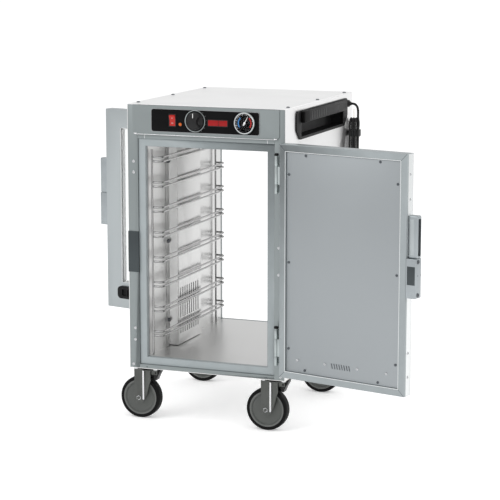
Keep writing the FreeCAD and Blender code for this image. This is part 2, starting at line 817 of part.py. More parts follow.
def door_gasket(side):
    """Four mitred lengths of seal round the inner face."""
    x0, x1, z0, z1 = DOOR_FREE, DOOR_EDGE, DOOR_BASE, DOOR_TOP
    wide = S["GasketWide"]
    a0, a1, b0, b1 = x0 + wide, x1 - wide, z0 + wide, z1 - wide
    outlines = (
        [(-x1, z0), (-x0, z0), (-a0, b0), (-a1, b0)],
        [(-x0, z0), (-x0, z1), (-a0, b1), (-a0, b0)],
        [(-x0, z1), (-x1, z1), (-a1, b1), (-a0, b1)],
        [(-x1, z1), (-x1, z0), (-a1, b0), (-a1, b1)],
    )
    lengths = [
        padded("seal", outline, S["GasketThick"], "rear", (0, GASKET_BACK, 0)) for outline in outlines
    ]
    named(in_door(group(lengths), side), f"{side[0]}_door_gasket")


def door_window():
    """A sealed unit: two panes either side of a spacer."""
    x0, x1 = DOOR_FREE + S["WindowSide"] + 0.2, DOOR_EDGE - S["WindowSide"] - 0.2
    z0, z1 = DOOR_BASE + S["WindowLow"] + 0.2, DOOR_BASE + S["WindowHigh"] - 0.2
    glass = S["GlassThick"]
    outer = box(x0, x1, OUTER + 5, OUTER + 5 + glass, z0, z1)
    inner = box(x0, x1, OUTER + 21, OUTER + 21 + glass, z0, z1)
    ring = cut(
        box(x0, x1, OUTER + 5 + glass, OUTER + 21, z0, z1),
        box(x0 + 10, x1 - 10, OUTER + 5, OUTER + 30, z0 + 10, z1 - 10),
    )
    named(in_door(group([outer, inner, ring]), REAR), "rear_door_window")


def vent_cover(side):
    """The black moulded air inlet low on the outer face."""
    x0, x1 = DOOR_FREE + 50.5, DOOR_EDGE - 50.5
    z0, z1 = DOOR_BASE + 35.6, DOOR_BASE + 79.5
    shell = padded("cover", rectangle(x0, x1, z0, z1), 9, "front", (0, OUTER, 0), rounding=14)
    slots = []
    for i in range(12):
        start = x0 + 20 + 24 * i
        slots.append(box(start, start + 18, OUTER - 10, OUTER - 2, z0 + 10, z1 - 10))
    named(in_door(cut(shell, group(slots)), side), f"{side[0]}_vent_cover")


def door_latch(side):
    """A magnet block beyond the free edge with a hollow finger grip above it."""
    x0, x1 = DOOR_FREE - 32, DOOR_FREE
    block = box(x0, x1, INNER - 33, INNER, DOOR_BASE + 293, DOOR_BASE + 408)
    seat = box(x0 + 2, x1 - 4, INNER - 6, INNER + 1, DOOR_BASE + 332, DOOR_BASE + 386)
    magnet = box(x0 + 2.1, x1 - 4.1, INNER - 5.9, INNER, DOOR_BASE + 332.1, DOOR_BASE + 385.9)
    low, high = DOOR_BASE + 408, DOOR_BASE + 532
    face = 8
    outline = [(x0, low), (x1 - 0.2, low), (x1 - 0.2, high), (x0 + 13, high)]
    outline += [(x0 + 7, high - 2), (x0 + 2, high - 6), (x0, high - 13)]
    grip = padded("grip", outline, face - INNER + 33, "front", (0, face, 0))
    pocket = box(x0 - 1, x1 - 6, INNER - 29, face - 5, low + 7, high - 9)
    named(in_door(group([cut(block, seat), magnet, cut(grip, pocket)]), side), f"{side[0]}_door_latch")


def strike_plates():
    plates = []
    for name, sign in (FRONT, REAR):
        x0, x1 = span(-sign, BREAKER_X - 1, HALF_WIDE)
        y0, y1 = span(-sign, HALF_DEEP, HALF_DEEP + 3)
        plates.append(box(x0, x1, y0, y1, BASE + 306, BASE + 434))
    named(group(plates), "strike_plates")


# ---------------------------------------------------------------- hinges


def hinge_levels():
    return [BASE + S[name] - S["HingeTall"] / 2 for name in ("HingeLow", "HingeHigh")]


KNUCKLE = (27, 54, 28)
KNUCKLE_GAP = 0.5


def knuckle_range(low, which):
    start = low + 2 + sum(KNUCKLE[:which]) + KNUCKLE_GAP * which
    return start, start + KNUCKLE[which]


def frame_leaves():
    """Each leaf is screwed to the stile and carries the lower and upper knuckles."""
    leaves = []
    barrel = S["BarrelRadius"]
    for name, sign in (FRONT, REAR):
        for low in hinge_levels():
            reach = S["DoorGap"] + AXIS_TO_INNER
            solids = [box(-13, 13, reach - S["LeafThick"], reach, low, low + S["HingeTall"])]
            for which in (0, 2):
                z0, z1 = knuckle_range(low, which)
                solids.append(cylinder(barrel, z1 - z0, 0, 0, z0))
                solids.append(box(-3, 3, 4, reach - 1, z0, z1))
            bore = cylinder(S["PinRadius"], S["HingeTall"] + 20, 0, 0, low - 5)
            leaf = cut(fuse(solids), bore)
            turn = FreeCAD.Rotation(FreeCAD.Vector(0, 0, 1), 0 if sign > 0 else 180)
            leaf.Placement = FreeCAD.Placement(FreeCAD.Vector(), turn)
            bind(leaf, "Placement.Base.x", HINGE_X * sign)
            bind(leaf, "Placement.Base.y", HINGE_Y * -sign)
            leaves.append(leaf)
    named(group(leaves), "hinge_frame_leaves")


def hinge_pins():
    pins = []
    for name, sign in (FRONT, REAR):
        for low in hinge_levels():
            x, y = HINGE_X * sign, HINGE_Y * -sign
            shaft = cylinder(S["PinRadius"], S["HingeTall"] - 1, x, y, low + 1)
            head = cylinder(S["BarrelRadius"] - 1, 3, x, y, low + S["HingeTall"] - 3)
            pins.append(fuse([shaft, head]))
    named(group(pins), "hinge_pins")


def door_leaves(side):
    """Each leaf wraps the door's edge and carries the middle knuckle."""
    leaves = []
    for low in hinge_levels():
        z0, z1 = knuckle_range(low, 1)
        face = DOOR_EDGE + S["LeafThick"]
        plate = box(DOOR_EDGE, face, OUTER + 2, GASKET_BACK, low, low + S["HingeTall"])
        knuckle = cylinder(S["BarrelRadius"], z1 - z0, 0, 0, z0)
        web = box(DOOR_EDGE + 1, -4, -3, 3, z0, z1)
        bore = cylinder(S["PinRadius"] + S["RunningGap"], 60, 0, 0, z0 - 3)
        leaves.append(cut(fuse([plate, knuckle, web]), bore))
    named(in_door(group(leaves), side), f"{side[0]}_door_leaves")


# ---------------------------------------------------------------- casters


CORNERS = {
    "front_left": (-1, -1),
    "front_right": (1, -1),
    "rear_left": (-1, 1),
    "rear_right": (1, 1),
}


PLATE_THICK = 4
RACE_GAP = 0.4
RACE_TALL = 4.6
KINGPIN = 6


def caster_plates():
    plates = []
    for across, along in CORNERS.values():
        x, y = S["CasterX"] * across, S["CasterY"] * along
        plate = box(x - 42, x + 42, y - 50, y + 50, BASE - PLATE_THICK, BASE)
        race = cylinder(29, RACE_TALL + 1, x, y, BASE - PLATE_THICK - RACE_TALL)
        bore = cylinder(KINGPIN + S["RunningGap"], 30, x, y, BASE - 20)
        plates.append(cut(fuse([plate, race]), bore))
    named(group(plates), "caster_plates")


def caster(name):
    across, along = CORNERS[name]
    x, y = S["CasterX"] * across, S["CasterY"] * along
    axle_x = x - S["CasterTrail"]
    axle_z = S["WheelRadius"]
    half = S["WheelWide"] / 2 + 3
    thick = S["ForkThick"]
    top = S["ForkTop"]
    rise = top - axle_z

    solids = [box(x - 46, x + 9.5, y - half - thick, y + half + thick, top - thick, top)]
    solids.append(cylinder(30, BASE - PLATE_THICK - RACE_TALL - RACE_GAP - top + 1, x, y, top - 1))
    solids.append(cylinder(KINGPIN, BASE - top, x, y, top - 1))
    leg = [(-15, -14), (13, -14), (27, 12), (39.5, 58), (39.5, rise), (-16, rise)]
    for offset in (-half, half + thick):
        solids.append(padded("leg", leg, thick, "front", (axle_x, y + offset, axle_z)))
    if along < 0:
        for offset in (-17.5, 14.5):
            y0 = y + offset
            solids.append(box(x + 6, x + PEDAL_X + 6, y0, y0 + 3, PEDAL_Z - 6, top - 1))
    reach = half + thick + 6
    solids.append(cylinder(S["AxleRadius"], reach * 2, axle_x, y + reach, axle_z, "front"))
    fork = fuse(solids)
    if along < 0:
        bore = cylinder(PEDAL_PIN + S["RunningGap"], 60, x + PEDAL_X, y + 30, PEDAL_Z, "front")
        fork = cut(fork, bore)
    named(fork, f"caster_fork_{name}")

    wide = S["WheelWide"] / 2
    bore = S["AxleRadius"] + S["RunningGap"]
    hub_points = [(bore, -wide - 1), (15, -wide - 1), (15, -wide + 3), (S["HubRadius"], -wide + 3)]
    hub_points += [(S["HubRadius"], wide - 3), (15, wide - 3), (15, wide + 1), (bore, wide + 1)]
    hub = turned("hub", hub_points, "front", (axle_x, y, axle_z))
    rim, tread = S["HubRadius"], S["WheelRadius"]
    tyre_points = [(rim, -wide + 2), (rim + 4, -wide), (tread - 3, -wide + 3), (tread, -wide + 8)]
    tyre_points += [(tread, wide - 8), (tread - 3, wide - 3), (rim + 4, wide), (rim, wide - 2)]
    tyre = turned("tyre", tyre_points, "front", (axle_x, y, axle_z))
    named(group([hub, tyre]), f"caster_wheel_{name}")

    if along < 0:
        brake_pedal(name, x, y)


PEDAL_X = 22
PEDAL_Z = 150
PEDAL_PIN = 3


def brake_pedal(name, x, y):
    """A foot tongue that pivots between two ears of the fork, above the tyre."""
    tongue = padded(
        "tongue",
        [(-9, -22), (0, -25), (7, -8), (14, 4), (17, 14), (12, 15), (9, 6), (-3, 0), (-8, -8)],
        26,
        "front",
        (x + PEDAL_X, y + 13, PEDAL_Z),
    )
    pin = cylinder(PEDAL_PIN, 36, x + PEDAL_X, y + 18, PEDAL_Z, "front")
    named(fuse([tongue, pin]), f"brake_pedal_{name}")


# ---------------------------------------------------------------- fasteners


def cabinet_screws():
    """Cross-head screws of the frames and top, and the thumb screws of the air duct."""
    screws = []
    for x, y in top_screw_places():
        screws.append(cylinder(TOP_SCREW, SKIN, x, y, TOP - SKIN))
    for sign in (-1, 1):
        for z in (12.6, 91.7, 128.6, 618.4, 652.5):
            x = 244.8 if z < 50 else 238
            if sign > 0 and z > 50:
                continue
            screws.append(cylinder(4.8, 2.2, x * sign, -HALF_DEEP, BASE + z, "front"))
            screws.append(cylinder(4.8, 2.2, x * -sign, HALF_DEEP, BASE + z, "rear"))
    for z in DUCT_SCREWS:
        screws.append(cylinder(6, 7, -CAVITY_X + 2, -153, BASE + z, "right"))
    named(group(screws), "cabinet_screws")


# ---------------------------------------------------------------- supply cord


def cord_gland():
    """A strain-relief bush in the right side panel, tapered towards the cord."""
    x = HALF_WIDE
    nut = cylinder(11.5, 5, x, GLAND_Y, GLAND_Z, "right")
    nose = cone(8.5, 5.4, GLAND_OUT - 5, x + 5, GLAND_Y, GLAND_Z, "right")
    stem = cylinder(8, 14, x - 14, GLAND_Y, GLAND_Z, "right")
    named(fuse([nut, nose, stem]), "cord_gland")


# The cord leaves the gland, turns down in one bend and enters the top of its hank.
CORD_ROUTE = [
    (270.5, 276.0, 968.0),
    (279.5, 276.0, 968.0),
    (287.0, 276.0, 963.5),
    (291.5, 276.8, 956.0),
    (292.8, 278.0, 946.5),
    (292.8, 279.0, 935.0),
    (292.2, 279.5, 922.0),
]
HANK_X = dim(260)
HANK_WIDE = 41
HANK_Y = dim(254)
HANK_DEEP = 56
HANK_TOP = dim(921.7)
HANK_TALL = 271.7


def rounded_route(points):
    """Straight runs joined by tangent arcs, each as large as its two runs allow."""
    corners = [FreeCAD.Vector(*p) for p in points]
    edges = []
    start = corners[0]
    for before, here, after in zip(corners, corners[1:], corners[2:]):
        to_here = here - before
        to_after = after - here
        turn = to_here.getAngle(to_after)
        reach = 0.45 * min(to_here.Length, to_after.Length)
        radius = reach / math.tan(turn / 2)
        first = here - to_here.normalize() * reach
        last = here + to_after.normalize() * reach
        inward = (first + last) * 0.5 - here
        inward.normalize()
        middle = here + inward * (radius / math.cos(turn / 2) - radius)
        edges.append(Part.LineSegment(start, first).toShape())
        edges.append(Part.Arc(first, middle, last).toShape())
        start = last
        print(f"cord bend radius {radius:.1f} mm, turn {math.degrees(turn):.1f} degrees")
    edges.append(Part.LineSegment(start, corners[-1]).toShape())
    return Part.Wire(edges)


def supply_cord():
    path = rounded_route(CORD_ROUTE)
    radius = from_sheet("CordRadius")
    start = FreeCAD.Vector(*CORD_ROUTE[0])
    along = FreeCAD.Vector(*CORD_ROUTE[1]) - start
    section = Part.Wire(Part.Circle(start, along, radius).toShape())
    tube = doc.addObject("Part::Feature", "cord")
    tube.Shape = path.makePipeShell([section], True, False)
    ratio = tube.Shape.Volume / (math.pi * radius**2 * path.Length)
    print(f"cord tube {path.Length:.1f} mm long, volume ratio {ratio:.4f}")
    named(tube, "power_cord")


def cord_hank():
    """The outer shape of the folded cord, which hangs flat beside the side panel."""
    outline = rectangle(HANK_X, HANK_X + HANK_WIDE, HANK_Y, HANK_Y + HANK_DEEP)
    at = (0, 0, HANK_TOP - HANK_TALL)
    named(padded("hank", outline, HANK_TALL, "up", at, rounding=12), "cord_hank")


def cord_plug():
    """A moulded plug with two flat blades and an earth pin, pointing down."""
    x, y = HANK_X + HANK_WIDE / 2, HANK_Y + HANK_DEEP / 2
    top = HANK_TOP - HANK_TALL
    relief = cone(7, 5, 22, x, y, top - 22)
    shell = padded("shell", rectangle(-10, 10, -13, 13), 32, "up", (x, y, top - 53), rounding=6)
    blades = [box(x - 3, x + 3, y + s - 0.8, y + s + 0.8, top - 70, top - 52) for s in (-6.4, 6.4)]
    earth = cylinder(2.4, 20, x - 6.5, y, top - 72)
    named(fuse([relief, shell, earth] + blades), "cord_plug")


doc.recompute()
side_panels()
top_and_base()
door_frames()
breaker_strips()
cavity_liner()
insulation()
control_fascia()
control_overlay()
rocker()
lamp_and_lens()
thermostat()
thermometer()
heating()
air_duct()
slide_racks()
side_handles()
for door_side in (FRONT, REAR):
    door_skin(door_side)
    door_gasket(door_side)
    vent_cover(door_side)
    door_latch(door_side)
    door_leaves(door_side)
door_core()
door_panel()
door_window()
strike_plates()
frame_leaves()
hinge_pins()
caster_plates()
for corner_name in CORNERS:
    caster(corner_name)
cabinet_screws()
cord_gland()
supply_cord()
cord_hank()
cord_plug()
doc.recompute()

for item in doc.Objects:
    if "Invalid" in item.State or "Error" in item.State:
        raise RuntimeError(f"{item.Name} ({item.Label}) is {item.State}")
for item in subparts:
    if item.Shape.isNull() or not item.Shape.isValid():
        raise RuntimeError(f"{item.Label} has no valid shape")

os.makedirs("parts", exist_ok=True)
for item in subparts:
    item.Shape.exportStep(f"parts/{item.Label}.step")
print(len(subparts), "sub-parts written")
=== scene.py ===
import json
import math

import bpy
from mathutils import Matrix, Vector

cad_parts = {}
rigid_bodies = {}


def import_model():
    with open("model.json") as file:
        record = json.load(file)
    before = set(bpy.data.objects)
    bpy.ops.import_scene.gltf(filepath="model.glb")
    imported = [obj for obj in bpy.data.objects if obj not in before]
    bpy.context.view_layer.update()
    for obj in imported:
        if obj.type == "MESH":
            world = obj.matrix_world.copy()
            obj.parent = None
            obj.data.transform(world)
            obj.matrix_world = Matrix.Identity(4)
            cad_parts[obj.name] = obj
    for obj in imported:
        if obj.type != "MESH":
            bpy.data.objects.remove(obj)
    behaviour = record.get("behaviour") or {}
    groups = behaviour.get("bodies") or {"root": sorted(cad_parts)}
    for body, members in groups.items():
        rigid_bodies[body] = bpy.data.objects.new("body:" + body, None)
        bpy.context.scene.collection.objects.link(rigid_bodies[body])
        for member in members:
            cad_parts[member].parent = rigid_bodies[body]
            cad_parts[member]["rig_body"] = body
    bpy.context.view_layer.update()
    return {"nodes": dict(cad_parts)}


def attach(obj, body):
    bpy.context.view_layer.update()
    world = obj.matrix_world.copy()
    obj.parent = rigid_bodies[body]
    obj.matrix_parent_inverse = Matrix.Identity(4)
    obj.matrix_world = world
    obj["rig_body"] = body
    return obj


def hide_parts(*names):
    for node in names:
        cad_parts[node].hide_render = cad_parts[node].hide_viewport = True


# Insulated food carrier, in metres. Lengths given to the makers below are millimetres.
# +Z up, X across the front, -Y towards the user; the origin is on the floor.

MM = 0.001
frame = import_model()
nodes = frame["nodes"]
slots = {}

BODY_WIDE = 517
HALF_WIDE = BODY_WIDE / 2
HALF_DEEP = 319
BODY_LOW = 174
BODY_TOP = 1003
PANEL_Y = -322.5
CONTROL_Z = 957.5
ROCKER_X = -105.5
LAMP = (-79.8, 946)
KNOB_X = -31.5
LENS = (42.5, 954)
GAUGE_X = 130.1
DOOR_EDGE = -21
DOOR_FREE = -455
DOOR_INNER = 16.5
DOOR_OUTER = -21.5
DOOR_PANEL = 12.5
DOOR_LOW = 196.5
SEAL = 21.5
DOOR_TALL = 708
CASTER_X = 214
CASTER_Y = 255.5
CASTER_TRAIL = 33
AXLE_Z = 67
SILL_SCREW_X = 244.8
POST_SCREW_X = 238
HINGE_X = 238
HINGE_Y = 340
HINGE_TOPS = (342.5, 868)
DOOR_OPEN = 166.6
LATCH_WIDE = 32
WINDOW_MARGIN = 65
WINDOW_LOW = 93
WINDOW_HIGH = 644
EASED_ANGLE = 32
CORD_THICK = 0.0077


# ---------------------------------------------------------------- camera and cord


def add_camera():
    lens = bpy.data.cameras.new("camera")
    lens.lens = 134.6
    lens.sensor_width = 36
    lens.clip_end = 300
    camera = bpy.data.objects.new("camera", lens)
    bpy.context.scene.collection.objects.link(camera)
    camera.location = (2.1484, -5.5220, 1.5499)
    camera.rotation_euler = (math.radians(80.059), 0, math.radians(21.057))
    bpy.context.scene.camera = camera


CORD_ROUTE = [
    (270.5, 276.0, 968.0),
    (279.5, 276.0, 968.0),
    (287.0, 276.0, 963.5),
    (291.5, 276.8, 956.0),
    (292.8, 278.0, 946.5),
    (292.8, 279.0, 935.0),
    (292.2, 279.5, 922.0),
]
HANK_AT = Vector((282, 282, 0))
HANK_TURN = math.radians(10)
HANK_LAYERS = (12, 5, 1, -3, -7, -11, -15)
FOLD_RADIUS = 23
CURVE_SHRINK = 0.972
FOLD_HIGH = 896
FOLD_LOW = 725
HANK_WAIST = ((880, 18), (862, 17.5), (838, 20.5), (808, 22.5), (775, 23))


def hank_point(along, across, height):
    """A point of the folded cord: along its folds, across its layers, and its height."""
    way = Vector((-math.sin(HANK_TURN), math.cos(HANK_TURN), 0))
    side = Vector((math.cos(HANK_TURN), math.sin(HANK_TURN), 0))
    return HANK_AT + way * along + side * across + Vector((0, 0, height))


def hank_points():
    points = [hank_point(-8, 13, 905), hank_point(-15, 12.5, 886)]
    for run, layer in enumerate(HANK_LAYERS):
        side = -1 if run % 2 == 0 else 1
        going_down = run % 2 == 0
        stations = [hank_point(side * along, layer, height) for height, along in HANK_WAIST]
        stations.append(hank_point(side * FOLD_RADIUS, layer, FOLD_LOW + 14))
        points += stations if going_down else stations[::-1]
        if run + 1 == len(HANK_LAYERS):
            break
        onward = HANK_LAYERS[run + 1]
        swing = FOLD_RADIUS / CURVE_SHRINK
        centre = FOLD_LOW if going_down else FOLD_HIGH
        for step in range(7):
            angle = math.radians(30 * step)
            across = layer + (onward - layer) * step / 6
            lift = swing * math.sin(angle) * (-1 if going_down else 1)
            points.append(hank_point(side * swing * math.cos(angle), across, centre + lift))
    points += [hank_point(-23, -15, 704), hank_point(-20, -12, 688), hank_point(-11, -6, 673)]
    points += [hank_point(-2, -1, 664), Vector((280.5, 282, 656)), Vector((280.5, 282, 649))]
    return points


def supply_cord():
    points = [Vector(p) for p in CORD_ROUTE] + hank_points()
    curve = bpy.data.curves.new("supply_cord", "CURVE")
    curve.dimensions = "3D"
    curve.bevel_depth = CORD_THICK / 2
    curve.bevel_resolution = 5
    curve.use_fill_caps = True
    spline = curve.splines.new("NURBS")
    spline.points.add(len(points) - 1)
    for place, point in zip(spline.points, points):
        place.co = (*(point * MM), 1)
    spline.order_u = 3
    spline.use_endpoint_u = True
    spline.resolution_u = 8
    cord = bpy.data.objects.new("supply_cord", curve)
    bpy.context.scene.collection.objects.link(cord)
    return cord


# ---------------------------------------------------------------- finishes


class Value:
    """A socket that takes part in sums: each operator adds its own Math node."""

    def __init__(self, finish, socket):
        self.finish = finish
        self.socket = socket

    def math(self, operation, *values):
        return self.finish.node("ShaderNodeMath", {"operation": operation}, values)

    def __add__(self, other):
        return self.math("ADD", self, other)

    def __sub__(self, other):
        return self.math("SUBTRACT", self, other)

    def __rsub__(self, other):
        return self.math("SUBTRACT", other, self)

    def __mul__(self, other):
        return self.math("MULTIPLY", self, other)

    def __gt__(self, other):
        return self.math("GREATER_THAN", self, other)

    __radd__ = __add__
    __rmul__ = __mul__


class Finish:
    """A procedural material on the slot of that name in the record."""

    def __init__(self, name, slot=None, **uniform):
        self.slot = slot or name
        self.material = bpy.data.materials.new(f"{name}_finish")
        self.material.use_nodes = True
        self.tree = self.material.node_tree
        self.shader = self.tree.nodes["Principled BSDF"]
        for socket, value in uniform.items():
            self.shader.inputs[socket.replace("_", " ")].default_value = value

    def node(self, kind, settings=None, inputs=(), output=0):
        node = self.tree.nodes.new(kind)
        for key, value in (settings or {}).items():
            setattr(node, key, value)
        pairs = inputs.items() if isinstance(inputs, dict) else enumerate(inputs)
        for key, value in pairs:
            if isinstance(value, Value):
                self.tree.links.new(value.socket, node.inputs[key])
            else:
                node.inputs[key].default_value = value
        return Value(self, node.outputs[output])

    def feed(self, socket, value):
        self.tree.links.new(value.socket, self.shader.inputs[socket])

    def place(self, scale=(1, 1, 1)):
        """The point on the object, in metres, times the scale."""
        coordinate = self.node("ShaderNodeTexCoord", output=3)
        inputs = {"Vector": coordinate, "Scale": scale}
        return self.node("ShaderNodeMapping", None, inputs)

    def noise(self, vector, scale, detail=3.0, rough=0.55):
        inputs = {"Vector": vector, "Scale": scale, "Detail": detail, "Roughness": rough}
        return self.node("ShaderNodeTexNoise", None, inputs)

    def mix(self, factor, first, second):
        inputs = {0: factor, 6: first, 7: second}
        return self.node("ShaderNodeMix", {"data_type": "RGBA"}, inputs, output=2)

    def bump(self, height, strength, distance=0.001):
        inputs = {"Strength": strength, "Distance": distance, "Height": height}
        self.feed("Normal", self.node("ShaderNodeBump", None, inputs))


def tint(colour, factor):
    return tuple(min(1.0, part * factor) for part in colour[:3]) + (1,)


def sheet_metal(name, colour, roughness, grain=(700, 700, 9), spread=0.05, slot=None, **more):
    """Drawn or brushed metal: fine lines along one way, over broad soft clouds of rolling marks."""
    finish = Finish(name, slot, Metallic=1.0, **more)
    lines = finish.noise(finish.place(grain), 1.0, 4.0)
    clouds = finish.noise(finish.place(), 5.0, 2.0)
    scuffs = finish.noise(finish.place((60, 60, 60)), 1.0, 5.0, 0.7)
    shade = (lines - 0.5) * 0.6 + (clouds - 0.5) * 0.8 + 0.5
    finish.feed("Base Color", finish.mix(shade, tint(colour, 1 - spread), tint(colour, 1 + spread)))
    worn = (scuffs > 0.66) * 0.02
    finish.feed("Roughness", (lines - 0.5) * 0.12 + (clouds - 0.5) * 0.1 + worn + roughness)
    finish.bump(lines, 0.03, 0.0003)
    return finish


def moulded(name, colour, roughness, grain=2600, depth=0.12, spread=0.12, slot=None, **more):
    """Moulded plastic or rubber: a fine spark texture and a faint bloom."""
    finish = Finish(name, slot, **more)
    pores = finish.noise(finish.place(), grain, 2.0)
    bloom = finish.noise(finish.place(), 14.0, 4.0)
    finish.feed("Base Color", finish.mix(bloom, tint(colour, 1 - spread), tint(colour, 1 + spread)))
    finish.feed("Roughness", (bloom - 0.5) * 0.14 + (pores - 0.5) * 0.08 + roughness)
    finish.bump(pores, depth, 0.0003)
    return finish


def cast_metal(name, colour, roughness, metallic=0.85, slot=None):
    """Cast or stamped and plated metal: a pebbled skin with a few darker pits."""
    finish = Finish(name, slot, Metallic=metallic)
    pebble = finish.noise(finish.place(), 900.0, 3.0)
    cloud = finish.noise(finish.place(), 30.0, 4.0)
    pits = (finish.noise(finish.place(), 420.0, 2.0) > 0.68) * 0.5
    shade = (cloud - 0.5) * 0.9 + 0.5 - pits * 0.4
    finish.feed("Base Color", finish.mix(shade, tint(colour, 0.86), tint(colour, 1.12)))
    finish.feed("Roughness", (pebble - 0.5) * 0.2 + pits * 0.2 + roughness)
    finish.bump(pebble, 0.2, 0.0003)
    return finish


def lit_lens(name, colour, glow):
    """A translucent coloured lens with fine ribs behind its face."""
    finish = Finish(name, Roughness=0.3, Specular_IOR_Level=0.25, Emission_Strength=glow)
    ribs = finish.node(
        "ShaderNodeTexWave", {"bands_direction": "X"}, {"Vector": finish.place(), "Scale": 160.0}
    )
    depth = finish.noise(finish.place(), 60.0, 3.0)
    shade = ribs * 0.25 + depth * 0.75
    hue = finish.mix(shade, tint(colour, 0.55), tint(colour, 1.25))
    finish.feed("Base Color", hue)
    finish.feed("Emission Color", hue)
    return finish


def clear_glass(name, slot, roughness=0.02):
    finish = Finish(name, slot, Transmission_Weight=1.0, IOR=1.12, Metallic=0.0)
    smear = finish.noise(finish.place(), 9.0, 5.0)
    finish.feed("Roughness", (smear > 0.6) * 0.03 + roughness)
    finish.feed("Base Color", finish.mix(smear, (0.97, 0.985, 0.98, 1), (1, 1, 1, 1)))
    return finish


def printed(name, colour, slot="white_print"):
    finish = Finish(name, slot, Roughness=0.45)
    patchy = finish.noise(finish.place(), 800.0, 3.0)
    finish.feed("Base Color", finish.mix(patchy, tint(colour, 0.9), tint(colour, 1.04)))
    finish.bump(patchy, 0.05, 0.0001)
    return finish


def gloss_panel():
    """The black label: a satin film with a fine grain and faint haze."""
    finish = Finish("panel_black", Specular_IOR_Level=0.05)
    grain = finish.noise(finish.place(), 1800.0, 2.0)
    haze = finish.noise(finish.place((1, 1, 3)), 12.0, 3.0)
    dark, pale = (0.003, 0.003, 0.0033, 1), (0.007, 0.007, 0.0075, 1)
    finish.feed("Base Color", finish.mix(haze, dark, pale))
    finish.feed("Roughness", (haze - 0.5) * 0.1 + grain * 0.05 + 0.34)
    finish.bump(grain, 0.03, 0.0002)
    return finish


def foam():
    finish = Finish("foam", Roughness=0.9)
    cells = finish.node(
        "ShaderNodeTexVoronoi", None, {"Vector": finish.place(), "Scale": 500.0}
    )
    finish.feed("Base Color", finish.mix(cells, (0.62, 0.5, 0.25, 1), (0.85, 0.75, 0.5, 1)))
    finish.bump(cells, 0.5, 0.001)
    return finish


